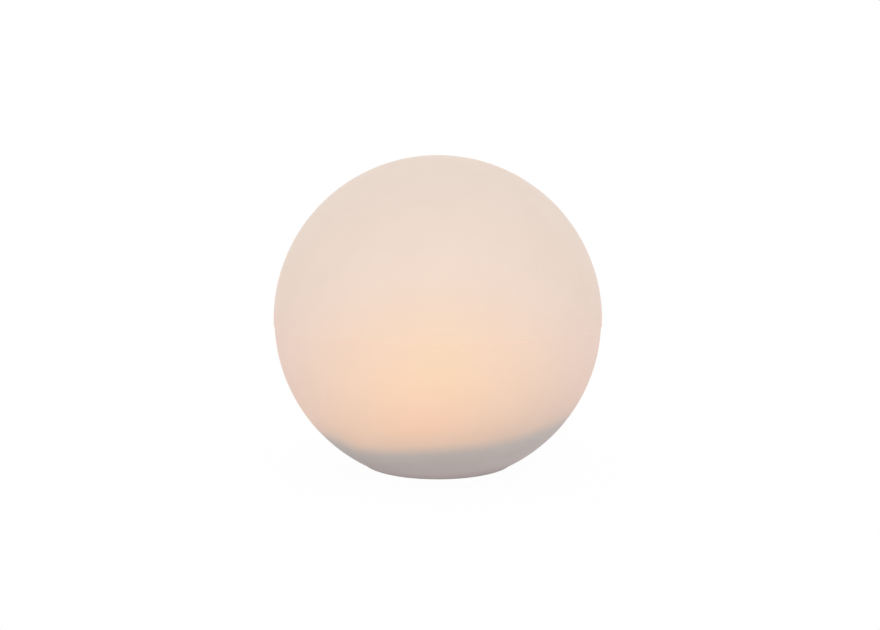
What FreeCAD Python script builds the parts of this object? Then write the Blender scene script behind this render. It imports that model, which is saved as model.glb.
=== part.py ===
import FreeCAD, Part
import math
import os
import re
import Sketcher

# Garden globe light: a milky two-part globe with a flat foot, standing on a surface.
# An opaque battery module is screwed into the foot from below. It holds three cells,
# a small timer board, one upright lamp diode, a slide switch and a hinged battery door.
# Millimetres. +Z is up. z = 0 is the surface that the foot rests on, and the Z axis is
# the axis of the globe. The front of the object, as seen, faces -Y.

os.makedirs("parts", exist_ok=True)
doc = FreeCAD.newDocument("garden_globe_light")
V = FreeCAD.Vector

# ---------------------------------------------------------------- driving sizes
SIZES = [
    # globe
    ("centre_height", 88.5, "height of the globe's centre over the resting plane"),
    ("upper_radius", 100.0, "outer radius of the upper half"),
    ("lower_radius", 99.5, "outer radius of the lower half"),
    ("shell_wall", 2.5, "wall of both halves"),
    ("seam_height", 86.2, "lower edge of the upper half"),
    ("seam_gap", 0.3, "open line between the two halves"),
    ("lap_radius", 98.7, "inner radius of the upper half's skirt"),
    ("lap_top", 93.1, "top of the skirt's rebate"),
    ("spigot_radius", 98.4, "outer radius of the lower half's spigot"),
    ("spigot_top", 92.2, "top of the spigot"),
    ("seal_width", 0.9, "seam seal, across"),
    ("seal_thick", 0.8, "seam seal, high"),
    ("edge_break", 0.35, "bevel on the seam edges"),
    ("foot_thick", 3.2, "floor of the lower half"),
    ("foot_opening", 37.3, "radius of the opening in the floor"),
    ("bead_major", 45.9, "foot bead, ring radius"),
    ("bead_minor", 1.2, "foot bead, section radius"),
    # housing screws
    ("screw_circle", 41.8, "radius of the housing screws' circle"),
    ("screw_hole", 1.7, "radius of the screw holes in the floor"),
    ("screw_sink", 3.1, "radius of the screw head recesses"),
    ("screw_sink_top", 2.0, "top of the screw head recesses"),
    ("screw_head", 2.8, "radius of the screw heads"),
    ("screw_shank", 1.45, "radius of the screw shanks"),
    ("screw_tip", 12.0, "top end of the housing screws"),
    # gasket and housing
    ("gasket_outer", 45.2, "housing gasket, outer radius"),
    ("gasket_inner", 38.3, "housing gasket, inner radius"),
    ("gasket_thick", 0.8, "housing gasket"),
    ("base_lift", 0.6, "underside of the housing over the resting plane"),
    ("spigot_housing", 37.0, "radius of the housing in the floor's opening"),
    ("flange_radius", 45.4, "radius of the housing's flange"),
    ("flange_top", 6.3, "top of the flange"),
    ("drum_radius", 39.0, "outer radius of the housing's drum"),
    ("chamber_radius", 37.2, "inner radius of the electronics chamber"),
    ("chamber_floor", 20.2, "floor of the electronics chamber"),
    ("drum_top", 26.2, "top of the drum"),
    ("deck_thick", 1.8, "lid of the drum"),
    ("boss_radius", 3.3, "bosses for the housing screws"),
    ("boss_top", 13.5, "top of those bosses"),
    # battery bay
    ("bay_x", 28.4, "half length of the bay"),
    ("bay_y", 22.0, "half width of the bay"),
    ("bay_round", 3.4, "corner radius of the bay"),
    ("bay_top", 18.6, "ceiling of the bay"),
    ("cell_radius", 7.1, "AA cell"),
    ("cell_body", 49.0, "AA cell without its nub"),
    ("nub_radius", 2.6, "nub of the cell"),
    ("nub_high", 1.2, "nub of the cell"),
    ("cell_pitch", 14.5, "cell to cell"),
    ("cell_z", 10.9, "height of the cells' axes"),
    ("plate_thick", 0.4, "contact plates"),
    # door
    ("door_face", 0.7, "outer face of the door"),
    ("door_thick", 1.7, "door plate"),
    ("door_x", 30.5, "half length of the door"),
    ("door_low", 24.0, "door edge on the screw side"),
    ("door_high", 23.0, "door edge on the hinge side"),
    ("recess_high", 24.0, "edge of the door recess on the hinge side"),
    ("door_round", 8.0, "corner radius of the door"),
    ("play", 0.3, "gap round moving pieces"),
    ("seat_top", 3.1, "seat that the door's gasket faces"),
    ("axis_y", 25.6, "hinge axis"),
    ("axis_z", 2.3, "hinge axis"),
    ("knuckle_radius", 1.6, "hinge knuckle"),
    ("pin_radius", 0.75, "hinge pin"),
    ("pin_half", 22.0, "half length of the hinge pin"),
    ("knuckle_from", 8.0, "knuckle, near end"),
    ("knuckle_to", 18.0, "knuckle, far end"),
    ("lug_y", 29.6, "door screw, distance from the middle"),
    ("lug_radius", 5.0, "lug of the door"),
    ("lug_top", 4.2, "top of the lug"),
    ("insert_radius", 2.3, "threaded insert, outside"),
    ("insert_bore", 1.65, "threaded insert, bore"),
    # switch
    ("switch_y", 31.7, "middle of the slide switch"),
    ("switch_x", 12.6, "switch body, long"),
    ("switch_w", 6.2, "switch body, wide"),
    ("switch_tall", 5.6, "switch body, high"),
    ("switch_base", 4.4, "lower face of the switch body"),
    ("travel", 4.0, "travel of the slider"),
    # board and diode
    ("board_x", 22.0, "half length of the board"),
    ("board_y", 14.0, "half width of the board"),
    ("board_base", 21.8, "lower face of the board"),
    ("board_thick", 1.6, "board"),
    ("diode_radius", 2.5, "lamp diode"),
    ("diode_flange", 2.9, "rim of the lamp diode"),
    ("diode_seat", 28.2, "shoulder that the diode's rim sits under"),
    ("deck_hole", 4.2, "hole in the lid for the diode's holder"),
    ("deck_circle", 34.0, "radius of the lid screws' circle"),
]
sheet = doc.addObject("Spreadsheet::Sheet", "Sizes")
for row, (alias, number, words) in enumerate(SIZES, 1):
    sheet.set("A%d" % row, words)
    sheet.set("B%d" % row, str(number))
    sheet.setAlias("B%d" % row, alias)
doc.recompute()
NAMES = {alias for alias, _, _ in SIZES}


def E(text):
    """Words that are sizes get the sheet's name in front."""
    return re.sub(
        r"[a-z_]+",
        lambda m: "Sizes." + m.group(0) if m.group(0) in NAMES else m.group(0),
        str(text),
    )


def val(text):
    return float(sheet.evalExpression(E(text)))


def bind(obj, prop, text):
    """A size that the sheet drives, or a plain zero."""
    if any(w in NAMES for w in re.findall(r"[a-z_]+", str(text))):
        obj.setExpression(prop, E(text))
    else:
        head, _, tail = prop.partition(".")
        if not tail:
            setattr(obj, prop, val(text))
        else:
            place = FreeCAD.Placement(getattr(obj, head))
            base = V(place.Base)
            setattr(base, tail.split(".")[-1], val(text))
            place.Base = base
            setattr(obj, head, place)


# ---------------------------------------------------------------- primitives
count = [0]


def tag(name):
    count[0] += 1
    return "%s_%03d" % (name, count[0])


def cyl(name, r, low, high, x="0", y="0", axis="Z"):
    """Cylinder from low to high along its axis. x, y are the other two coordinates."""
    o = doc.addObject("Part::Cylinder", tag(name))
    bind(o, "Radius", r)
    bind(o, "Height", "(%s) - (%s)" % (high, low))
    if axis == "Z":
        places = {"x": x, "y": y, "z": low}
    elif axis == "X":
        o.Placement = FreeCAD.Placement(V(), FreeCAD.Rotation(V(0, 1, 0), 90))
        places = {"x": low, "y": x, "z": y}
    for k, t in places.items():
        bind(o, "Placement.Base." + k, t)
    return o


def box(name, x0, x1, y0, y1, z0, z1):
    o = doc.addObject("Part::Box", tag(name))
    for prop, a, b in (("Length", x0, x1), ("Width", y0, y1), ("Height", z0, z1)):
        bind(o, prop, "(%s) - (%s)" % (b, a))
    for k, t in (("x", x0), ("y", y0), ("z", z0)):
        bind(o, "Placement.Base." + k, t)
    return o


def ball(name, r, z):
    o = doc.addObject("Part::Sphere", tag(name))
    bind(o, "Radius", r)
    bind(o, "Placement.Base.z", z)
    return o


def cut(name, base, *tools):
    tool = tools[0] if len(tools) == 1 else fuse(name + "_tools", *tools)
    o = doc.addObject("Part::Cut", tag(name))
    o.Base, o.Tool = base, tool
    return o


def fuse(name, *shapes):
    o = doc.addObject("Part::MultiFuse", tag(name))
    o.Shapes = list(shapes)
    return o


def common(name, a, b):
    o = doc.addObject("Part::Common", tag(name))
    o.Base, o.Tool = a, b
    return o


def group(name, items):
    o = doc.addObject("Part::Compound", tag(name))
    o.Links = list(items)
    return o


def bevel(name, base, size, wanted):
    """Part::Chamfer on the edges that wanted() picks."""
    doc.recompute()
    picked = [i for i, e in enumerate(base.Shape.Edges, 1) if wanted(e)]
    if not picked:
        raise RuntimeError("no edge to bevel on " + name)
    o = doc.addObject("Part::Chamfer", tag(name))
    o.Base = base
    o.Edges = [(i, size, size) for i in picked]
    return o


def curve_of(e):
    """The edge's curve, or None at a pole, which has none."""
    try:
        return e.Curve
    except TypeError:
        return None


PARTS = {}


def part(label, obj):
    """A finished sub-part. Its Label names its file."""
    obj.Label = label
    PARTS[label] = obj
    return obj


# ---------------------------------------------------------------- sketched bodies
def new_body(name):
    return doc.addObject("PartDesign::Body", name)


def plane(body, role):
    return next(o for o in body.Origin.OriginFeatures if o.Role == role)


def sketch(body, name, role, offset=None):
    s = body.newObject("Sketcher::SketchObject", tag(name))
    s.AttachmentSupport = [(plane(body, role), "")]
    s.MapMode = "FlatFace"
    if offset is not None:
        if any(w in NAMES for w in re.findall(r"[a-z_]+", str(offset))):
            s.setExpression("AttachmentOffset.Base.z", E(offset))
        else:
            s.AttachmentOffset = FreeCAD.Placement(
                V(0, 0, val(offset)), FreeCAD.Rotation()
            )
    return s


def hold(s, kind, *rest):
    """A named distance in a sketch, driven by the sheet."""
    text = rest[-1]
    i = s.addConstraint(Sketcher.Constraint(kind, *rest[:-1], val(text)))
    name = "d%d" % i
    s.renameConstraint(i, name)
    if any(w in NAMES for w in re.findall(r"[a-z_]+", str(text))):
        s.setExpression("Constraints." + name, E(text))


def hold_point(s, geo, pos, x, y):
    if abs(val(x)) < 1e-9:
        s.addConstraint(Sketcher.Constraint("PointOnObject", geo, pos, -2))
    else:
        hold(s, "DistanceX", -1, 1, geo, pos, x)
    if abs(val(y)) < 1e-9:
        s.addConstraint(Sketcher.Constraint("PointOnObject", geo, pos, -1))
    else:
        hold(s, "DistanceY", -1, 1, geo, pos, y)


def outline(s, points):
    """Closed run of straight edges with both coordinates of each corner held."""
    start = s.GeometryCount
    vals = [(val(x), val(y)) for x, y in points]
    n = len(points)
    for i in range(n):
        a, b = vals[i], vals[(i + 1) % n]
        s.addGeometry(Part.LineSegment(V(a[0], a[1], 0), V(b[0], b[1], 0)), False)
    for i in range(n):
        s.addConstraint(
            Sketcher.Constraint("Coincident", start + i, 2, start + (i + 1) % n, 1)
        )
    for i, (x, y) in enumerate(points):
        hold_point(s, start + i, 1, x, y)


def circle(s, r, x="0", y="0"):
    g = s.addGeometry(
        Part.Circle(V(val(x), val(y), 0), V(0, 0, 1), val(r)), False
    )
    hold(s, "Radius", g, r)
    if abs(val(x)) < 1e-9 and abs(val(y)) < 1e-9:
        s.addConstraint(Sketcher.Constraint("Coincident", g, 3, -1, 1))
    else:
        hold_point(s, g, 3, x, y)


def rounded(s, x0, x1, y0, y1, r):
    """Rectangle with equal round corners, its four sides and radius held."""
    a, b, c, d, q = val(x0), val(x1), val(y0), val(y1), val(r)
    g = s.GeometryCount
    line, arc = Part.LineSegment, Part.ArcOfCircle
    cir = lambda x, y: Part.Circle(V(x, y, 0), V(0, 0, 1), q)
    pi = math.pi
    s.addGeometry(line(V(a + q, c, 0), V(b - q, c, 0)), False)
    s.addGeometry(arc(cir(b - q, c + q), -pi / 2, 0), False)
    s.addGeometry(line(V(b, c + q, 0), V(b, d - q, 0)), False)
    s.addGeometry(arc(cir(b - q, d - q), 0, pi / 2), False)
    s.addGeometry(line(V(b - q, d, 0), V(a + q, d, 0)), False)
    s.addGeometry(arc(cir(a + q, d - q), pi / 2, pi), False)
    s.addGeometry(line(V(a, d - q, 0), V(a, c + q, 0)), False)
    s.addGeometry(arc(cir(a + q, c + q), pi, 3 * pi / 2), False)
    C = Sketcher.Constraint
    for i in range(8):
        s.addConstraint(C("Tangent", g + i, 2, g + (i + 1) % 8, 1))
    s.addConstraint(C("Horizontal", g))
    s.addConstraint(C("Vertical", g + 2))
    s.addConstraint(C("Horizontal", g + 4))
    s.addConstraint(C("Vertical", g + 6))
    for i in (3, 5, 7):
        s.addConstraint(C("Equal", g + 1, g + i))
    hold(s, "Radius", g + 1, r)
    hold(s, "DistanceX", -1, 1, g + 6, 1, x0)
    hold(s, "DistanceX", -1, 1, g + 2, 1, x1)
    hold(s, "DistanceY", -1, 1, g, 1, y0)
    hold(s, "DistanceY", -1, 1, g + 4, 1, y1)


def revolve(body, name, points):
    s = sketch(body, name + "_profile", "XZ_Plane")
    outline(s, points)
    f = body.newObject("PartDesign::Revolution", tag(name))
    f.Profile = s
    f.ReferenceAxis = (s, ["V_Axis"])
    f.Angle = 360
    return f


def grow(body, name, low, high, draw, role="XY_Plane"):
    """Pad from low to high along the plane's normal."""
    s = sketch(body, name + "_outline", role, low)
    draw(s)
    before = body.Shape.Volume if body.Tip else 0
    f = body.newObject("PartDesign::Pad", tag(name))
    f.Profile = s
    bind(f, "Length", "(%s) - (%s)" % (high, low))
    doc.recompute()
    if body.Shape.Volume <= before:
        raise RuntimeError(name + " adds nothing")
    return f


def sink(body, name, low, high, draw, role="XY_Plane"):
    """Pocket from low to high along the plane's normal."""
    s = sketch(body, name + "_outline", role, low)
    draw(s)
    before = body.Shape.Volume
    f = body.newObject("PartDesign::Pocket", tag(name))
    f.Profile = s
    f.Reversed = True
    bind(f, "Length", "(%s) - (%s)" % (high, low))
    doc.recompute()
    if body.Shape.Volume >= before - 1e-6:
        raise RuntimeError(name + " cuts nothing")
    return f


def polar(body, name, features, times):
    f = body.newObject("PartDesign::PolarPattern", tag(name))
    f.Originals = list(features)
    f.Axis = (plane(body, "Z_Axis"), [""])
    f.Angle = 360
    f.Occurrences = times
    body.Tip = f
    doc.recompute()
    return f


def mirrored(body, name, features, role):
    f = body.newObject("PartDesign::Mirrored", tag(name))
    f.Originals = list(features)
    f.MirrorPlane = (plane(body, role), [""])
    body.Tip = f
    doc.recompute()
    return f


# ================================================================ the globe
# Upper half: a spherical cap whose skirt laps over the lower half.
blank = cut(
    "upper_blank",
    ball("upper_outer", "upper_radius", "centre_height"),
    box("below_seam", "-150", "150", "-150", "150", "-60", "seam_height"),
)
hollow = cut(
    "upper_hollow",
    blank,
    ball("upper_inner", "upper_radius - shell_wall", "centre_height"),
    cyl("skirt_rebate", "lap_radius", "seam_height - 5", "lap_top"),
)
# a bevel on the skirt's outer edge, taken off by a ring with a sloping inside
slope = doc.addObject("Part::Cone", tag("bevel_slope"))
r_seam = "sqrt(upper_radius ^ 2 - (seam_height - centre_height) ^ 2)"
bind(slope, "Radius1", r_seam + " - edge_break - 1")
bind(slope, "Radius2", r_seam + " + 1")
bind(slope, "Height", "edge_break + 2")
bind(slope, "Placement.Base.z", "seam_height - 1")
upper = cut(
    "upper_shell",
    hollow,
    cut(
        "bevel_ring",
        cyl("bevel_out", "upper_radius + 10", "seam_height - 1", "seam_height + edge_break + 1"),
        slope,
    ),
)
part("globe_upper_shell", upper)

# Lower half: a bowl with a flat floor, a round bead at its foot, and a spigot
# that stands inside the upper half's skirt.
bowl = common(
    "bowl",
    ball("lower_outer", "lower_radius", "centre_height"),
    cyl("bowl_slab", "lower_radius + 20", "0", "seam_height - seam_gap"),
)
bead = doc.addObject("Part::Torus", tag("foot_bead"))
bind(bead, "Radius1", "bead_major")
bind(bead, "Radius2", "bead_minor")
bind(bead, "Placement.Base.z", "bead_minor")
solid_lower = fuse(
    "lower_solid",
    bowl,
    bead,
    cyl("spigot", "spigot_radius", "seam_height - 6", "spigot_top"),
)
inside = fuse(
    "lower_inside",
    common(
        "inner_bowl",
        ball("lower_inner", "lower_radius - shell_wall", "centre_height"),
        cyl("inner_slab", "lower_radius", "foot_thick", "centre_height"),
    ),
    cyl("inner_spigot", "lower_radius - shell_wall", "centre_height", "spigot_top + 2"),
)
screw_spots = []
for k in range(4):
    a = math.radians(45 + 90 * k)
    screw_spots.append(
        ("screw_circle * %.9f" % math.cos(a), "screw_circle * %.9f" % math.sin(a))
    )
holes = [cyl("floor_opening", "foot_opening", "-1", "foot_thick + 2")]
for x, y in screw_spots:
    holes.append(cyl("floor_hole", "screw_hole", "-1", "foot_thick + 1", x, y))
    holes.append(cyl("floor_sink", "screw_sink", "-1", "screw_sink_top", x, y))
lower = cut("lower_shell", cut("lower_bowl", solid_lower, inside), *holes)
part("globe_lower_shell", lower)

part(
    "seam_seal",
    cut(
        "seam_seal",
        cyl("seal_out", "lower_radius - shell_wall + 0.3 + seal_width", "spigot_top", "spigot_top + seal_thick"),
        cyl("seal_in", "lower_radius - shell_wall + 0.3", "spigot_top - 1", "spigot_top + seal_thick + 1"),
    ),
)

part(
    "housing_gasket",
    cut(
        "housing_gasket",
        cyl("gasket_out", "gasket_outer", "foot_thick", "foot_thick + gasket_thick"),
        cyl("gasket_in", "gasket_inner", "foot_thick - 1", "foot_thick + gasket_thick + 1"),
        *[
            cyl("gasket_hole", "screw_hole + 0.1", "foot_thick - 1", "foot_thick + gasket_thick + 1", x, y)
            for x, y in screw_spots
        ],
    ),
)


def screw(name, x, y, head_r, shank_r, head_low, head_high, shank_end, down=False):
    """Pan-head screw with a cross recess. With down, the head is on top."""
    if down:
        head = cyl(name + "_head", head_r, head_low, head_high, x, y)
        shank = cyl(name + "_shank", shank_r, shank_end, "%s + 0.1" % head_low, x, y)
        z0, z1 = "%s - 0.75" % head_high, "%s + 0.5" % head_high
        rim = val(head_high)
    else:
        head = cyl(name + "_head", head_r, head_low, head_high, x, y)
        shank = cyl(name + "_shank", shank_r, "%s - 0.1" % head_high, shank_end, x, y)
        z0, z1 = "%s - 0.5" % head_low, "%s + 0.75" % head_low
        rim = val(head_low)
    whole = fuse(name + "_solid", head, shank)
    hr, cx, cy = val(head_r), val(x), val(y)

    def head_edge(e):
        c = curve_of(e)
        return (
            isinstance(c, Part.Circle)
            and abs(c.Radius - hr) < 0.01
            and abs(c.Center.z - rim) < 0.01
        )

    soft = bevel(name + "_pan", whole, 0.35, head_edge)
    arm, thin = "%s * 0.62" % head_r, "%s * 0.14" % head_r
    a = box(name + "_slot", "(%s) - %s" % (x, arm), "(%s) + %s" % (x, arm), "(%s) - %s" % (y, thin), "(%s) + %s" % (y, thin), z0, z1)
    b = box(name + "_slot", "(%s) - %s" % (x, thin), "(%s) + %s" % (x, thin), "(%s) - %s" % (y, arm), "(%s) + %s" % (y, arm), z0, z1)
    return cut(name, soft, a, b)


part(
    "housing_screws",
    group(
        "housing_screws",
        [
            screw("housing_screw", x, y, "screw_head", "screw_shank", "screw_sink_top - 1.75", "screw_sink_top", "screw_tip")
            for x, y in screw_spots
        ],
    ),
)

# ================================================================ battery housing
# A drum that fills the floor's opening from inside, with a flange on the gasket,
# the battery bay below and the electronics chamber above.
body = new_body("HousingBody")
revolve(
    body,
    "drum",
    [
        ("0", "base_lift"),
        ("spigot_housing - 0.4", "base_lift"),
        ("spigot_housing", "base_lift + 0.4"),
        ("spigot_housing", "foot_thick + gasket_thick"),
        ("flange_radius", "foot_thick + gasket_thick"),
        ("flange_radius", "flange_top"),
        ("drum_radius", "flange_top"),
        ("drum_radius", "drum_top"),
        ("chamber_radius", "drum_top"),
        ("chamber_radius", "chamber_floor"),
        ("0", "chamber_floor"),
    ],
)
doc.recompute()
sx, sy = screw_spots[0]
boss = grow(body, "boss", "flange_top - 0.2", "boss_top", lambda s: circle(s, "boss_radius", sx, sy))
polar(body, "bosses", [boss], 4)
bore = sink(body, "boss_bore", "foot_thick", "boss_top - 1", lambda s: circle(s, "screw_shank + 0.05", sx, sy))
polar(body, "boss_bores", [bore], 4)
sink(body, "bay", "0", "bay_top", lambda s: rounded(s, "-bay_x", "bay_x", "-bay_y", "bay_y", "bay_round"))
sink(
    body, "door_recess", "0", "seat_top",
    lambda s: rounded(s, "-door_x - play", "door_x + play", "-door_low - play", "recess_high", "door_round + play"),
)
sink(body, "lug_neck_recess", "0", "seat_top", lambda s: outline(s, [
    ("-lug_radius - play", "-lug_y"), ("lug_radius + play", "-lug_y"),
    ("lug_radius + play", "-door_low"), ("-lug_radius - play", "-door_low")]))
sink(body, "lug_recess", "0", "lug_top + 0.4", lambda s: circle(s, "lug_radius + play", "0", "-lug_y"))
sink(body, "insert_hole", "lug_top", "lug_top + 6", lambda s: circle(s, "insert_radius + 0.02", "0", "-lug_y"))
# knuckle pockets, a hole for the pin that runs out at one side
knuckle = sink(body, "knuckle_pocket", "0", "axis_z + knuckle_radius + play", lambda s: outline(s, [
    ("knuckle_from - play", "recess_high - 0.4"), ("knuckle_to + play", "recess_high - 0.4"),
    ("knuckle_to + play", "axis_y + knuckle_radius + play"), ("knuckle_from - play", "axis_y + knuckle_radius + play")]))
mirrored(body, "knuckle_pockets", [knuckle], "YZ_Plane")
sink(body, "pin_hole", "-pin_half - 0.1", "pin_half + 8", lambda s: circle(s, "pin_radius + 0.01", "axis_y", "axis_z"), "YZ_Plane")
# the slide switch: a dished recess below, a slot for the knob, a close pocket above
sink(body, "switch_dish", "0", "switch_base - 1.6", lambda s: rounded(s, "-8.2", "8.2", "switch_y - 3.2", "switch_y + 3.2", "3.1"))
sink(body, "knob_slot", "switch_base - 2", "switch_base + 0.2", lambda s: rounded(s, "-travel / 2 - 2.0", "travel / 2 + 2.0", "switch_y - 1.5", "switch_y + 1.5", "0.4"))
sink(body, "switch_pocket", "switch_base", "chamber_floor + 0.1", lambda s: rounded(s, "-switch_x / 2 - 0.2", "switch_x / 2 + 0.2", "switch_y - switch_w / 2 - 0.2", "switch_y + switch_w / 2 + 0.2", "0.5"))
# cored pockets that keep the walls even
core = sink(body, "core_front", "5", "chamber_floor + 0.1", lambda s: rounded(s, "7.5", "19", "-31.5", "-26.5", "1.5"))
mirrored(body, "cores_front", [core], "YZ_Plane")
core = sink(body, "core_side", "5", "chamber_floor + 0.1", lambda s: rounded(s, "bay_x + 2", "35.2", "-11", "11", "1.5"))
mirrored(body, "cores_side", [core], "YZ_Plane")
# slots for the two contact tabs
sink(body, "tab_slot_neg", "bay_top - 0.2", "chamber_floor + 0.1", lambda s: outline(s, [
    ("-bay_x - 0.01", "-cell_pitch - 1.7"), ("-bay_x + plate_thick + 0.2", "-cell_pitch - 1.7"),
    ("-bay_x + plate_thick + 0.2", "-cell_pitch + 1.7"), ("-bay_x - 0.01", "-cell_pitch + 1.7")]))
sink(body, "tab_slot_pos", "bay_top - 0.2", "chamber_floor + 0.1", lambda s: outline(s, [
    ("bay_x + 0.01", "cell_pitch - 1.7"), ("bay_x - plate_thick - 0.2", "cell_pitch - 1.7"),
    ("bay_x - plate_thick - 0.2", "cell_pitch + 1.7"), ("bay_x + 0.01", "cell_pitch + 1.7")]))
# cradle ribs between the cells, in the bay's ceiling
rib = grow(body, "cradle_rib", "bay_top - 3.0", "bay_top + 0.5", lambda s: outline(s, [
    ("-16", "cell_pitch / 2 - 0.5"), ("16", "cell_pitch / 2 - 0.5"),
    ("16", "cell_pitch / 2 + 0.5"), ("-16", "cell_pitch / 2 + 0.5")]))
mirrored(body, "cradle_ribs", [rib], "XZ_Plane")
# posts for the board, bosses for the lid screws
for px, py in (("18", "-10"), ("-18", "10")):
    grow(body, "board_post", "chamber_floor - 0.2", "board_base", lambda s: circle(s, "2.5", px, py))
    sink(body, "post_bore", "board_base - 2.9", "board_base + 0.1", lambda s: circle(s, "0.85", px, py))
deck_spots = []
for a in (40.0, 140.0, 270.0):
    c, d = math.cos(math.radians(a)), math.sin(math.radians(a))
    deck_spots.append(
        (
            "0" if abs(c) < 1e-9 else "deck_circle * %.9f" % c,
            "deck_circle * %.9f" % d,
        )
    )
for px, py in deck_spots:
    grow(body, "lid_boss", "chamber_floor - 0.2", "drum_top", lambda s: circle(s, "2.9", px, py))
    sink(body, "lid_bore", "chamber_floor + 1", "drum_top + 0.1", lambda s: circle(s, "1.05", px, py))
part("battery_housing", body)

# ================================================================ lid of the drum
body = new_body("DeckBody")
revolve(
    body,
    "deck",
    [
        ("deck_hole", "drum_top"),
        ("drum_radius", "drum_top"),
        ("drum_radius", "drum_top + deck_thick - 0.5"),
        ("drum_radius - 0.5", "drum_top + deck_thick"),
        ("deck_hole + 0.3", "drum_top + deck_thick"),
        ("deck_hole", "drum_top + deck_thick - 0.3"),
    ],
)
doc.recompute()
for px, py in deck_spots:
    sink(body, "deck_bore", "drum_top - 0.1", "drum_top + 1", lambda s: circle(s, "1.35", px, py))
    sink(body, "deck_sink", "drum_top + deck_thick - 0.9", "drum_top + deck_thick + 0.1", lambda s: circle(s, "2.5", px, py))
part("top_deck", body)
part(
    "deck_screws",
    group(
        "deck_screws",
        [
            screw("deck_screw", x, y, "2.2", "1.0", "drum_top + deck_thick - 0.9", "drum_top + deck_thick + 0.4", "chamber_floor + 1.4", down=True)
            for x, y in deck_spots
        ],
    ),
)

# ================================================================ lamp diode and its holder
body = new_body("HolderBody")
revolve(
    body,
    "holder",
    [
        ("diode_flange + 0.2", "drum_top + 0.2"),
        ("deck_hole - 0.1", "drum_top + 0.2"),
        ("deck_hole - 0.1", "drum_top + deck_thick"),
        ("6.5", "drum_top + deck_thick"),
        ("6.5", "drum_top + deck_thick + 0.7"),
        ("6.2", "drum_top + deck_thick + 1.0"),
        ("deck_hole", "drum_top + deck_thick + 1.0"),
        ("deck_hole - 0.3", "drum_top + deck_thick + 3.5"),
        ("diode_radius + 0.1", "drum_top + deck_thick + 3.5"),
        ("diode_radius + 0.1", "diode_seat"),
        ("diode_flange + 0.2", "diode_seat"),
    ],
)
part("led_holder", body)
part(
    "led",
    fuse(
        "led",
        cyl("led_rim", "diode_flange", "diode_seat - 1", "diode_seat"),
        cyl("led_barrel", "diode_radius", "diode_seat - 0.5", "diode_seat + 4.8"),
        ball("led_dome", "diode_radius", "diode_seat + 4.8"),
    ),
)
part(
    "led_leads",
    group(
        "led_leads",
        [
            box("led_lead", "%s - 0.25" % x, "%s + 0.25" % x, "-0.25", "0.25", "board_base - 0.9", "diode_seat - 1")
            for x in ("-1.27", "1.27")
        ],
    ),
)

# ================================================================ circuit board
# Built round its own origin, the middle of its lower face, and placed on its posts.
body = new_body("BoardBody")
grow(body, "board", "0", "board_thick", lambda s: rounded(s, "-board_x", "board_x", "-board_y", "board_y", "2"))
for px, py, rr in (
    ("18", "-10", "1.1"), ("-18", "10", "1.1"),
    ("-1.27", "0", "0.45"), ("1.27", "0", "0.45"),
):
    sink(body, "board_hole", "-0.1", "board_thick + 0.1", lambda s: circle(s, rr, px, py))
bind(body, "Placement.Base.z", "board_base")
part("circuit_board", body)
TOP = "board_base + board_thick"
part(
    "board_screws",
    group(
        "board_screws",
        [
            screw("board_screw", x, y, "1.9", "0.8", TOP, TOP + " + 1.2", "board_base - 2.8", down=True)
            for x, y in (("18", "-10"), ("-18", "10"))
        ],
    ),
)
chip = box("chip_case", "-12.5", "-7.5", "3", "7", TOP + " + 0.15", TOP + " + 1.65")
legs = []
for i in range(4):
    lx = -11.9 + 1.27 * i
    for side in (-1, 1):
        y_in, y_out = (3.0, 1.9) if side < 0 else (7.0, 8.1)
        lo, hi = min(y_in, y_out), max(y_in, y_out)
        arm = box("chip_arm", str(lx), str(lx + 0.4), str(lo), str(hi), TOP + " + 0.6", TOP + " + 0.8")
        f_lo, f_hi = (1.9, 2.2) if side < 0 else (7.8, 8.1)
        foot = box("chip_foot", str(lx), str(lx + 0.4), str(f_lo), str(f_hi), TOP, TOP + " + 0.8")
        legs.append(fuse("chip_leg", arm, foot))
part("timer_chip", chip)
part("chip_legs", group("chip_legs", legs))
part(
    "timing_crystal",
    fuse(
        "timing_crystal",
        cyl("crystal_can", "1.0", "-13", "-7", "-4", TOP + " + 1.05", axis="X"),
        box("crystal_lead", "-7.5", "-5.2", "-4.55", "-4.25", TOP, TOP + " + 0.8"),
        box("crystal_lead", "-7.5", "-5.2", "-3.75", "-3.45", TOP, TOP + " + 0.8"),
    ),
)
part(
    "capacitors",
    group(
        "capacitors",
        [
            box("capacitor", str(x), str(x + 3.2), "6", "7.6", TOP, TOP + " + 1.3")
            for x in (5.0, 10.5)
        ],
    ),
)
resistors = []
for y in (-4.0, -8.0):
    resistors.append(
        fuse(
            "resistor",
            cyl("resistor_case", "0.95", "6.2", "10.2", str(y), TOP + " + 1.0", axis="X"),
            cyl("resistor_wire", "0.25", "4.4", "12.0", str(y), TOP + " + 1.0", axis="X"),
            box("resistor_leg", "4.2", "4.7", "%s - 0.25" % y, "%s + 0.25" % y, TOP, TOP + " + 1.25"),
            box("resistor_leg", "11.7", "12.2", "%s - 0.25" % y, "%s + 0.25" % y, TOP, TOP + " + 1.25"),
        )
    )
part("resistors", group("resistors", resistors))

# ================================================================ slide switch
part(
    "switch_body",
    cut(
        "switch_body",
        box("switch_case", "-switch_x / 2", "switch_x / 2", "switch_y - switch_w / 2", "switch_y + switch_w / 2", "switch_base", "switch_base + switch_tall"),
        box("switch_cavity", "-travel / 2 - 2.3", "travel / 2 + 2.3", "switch_y - 1.5", "switch_y + 1.5", "switch_base - 1", "switch_base + 2.7"),
    ),
)
part(
    "switch_terminals",
    group(
        "switch_terminals",
        [
            box("switch_pin", "%s - 0.3" % x, "%s + 0.3" % x, "switch_y - 0.25", "switch_y + 0.25", "switch_base + switch_tall", "switch_base + switch_tall + 3.4")
            for x in ("-3", "0", "3")
        ],
    ),
)
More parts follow.
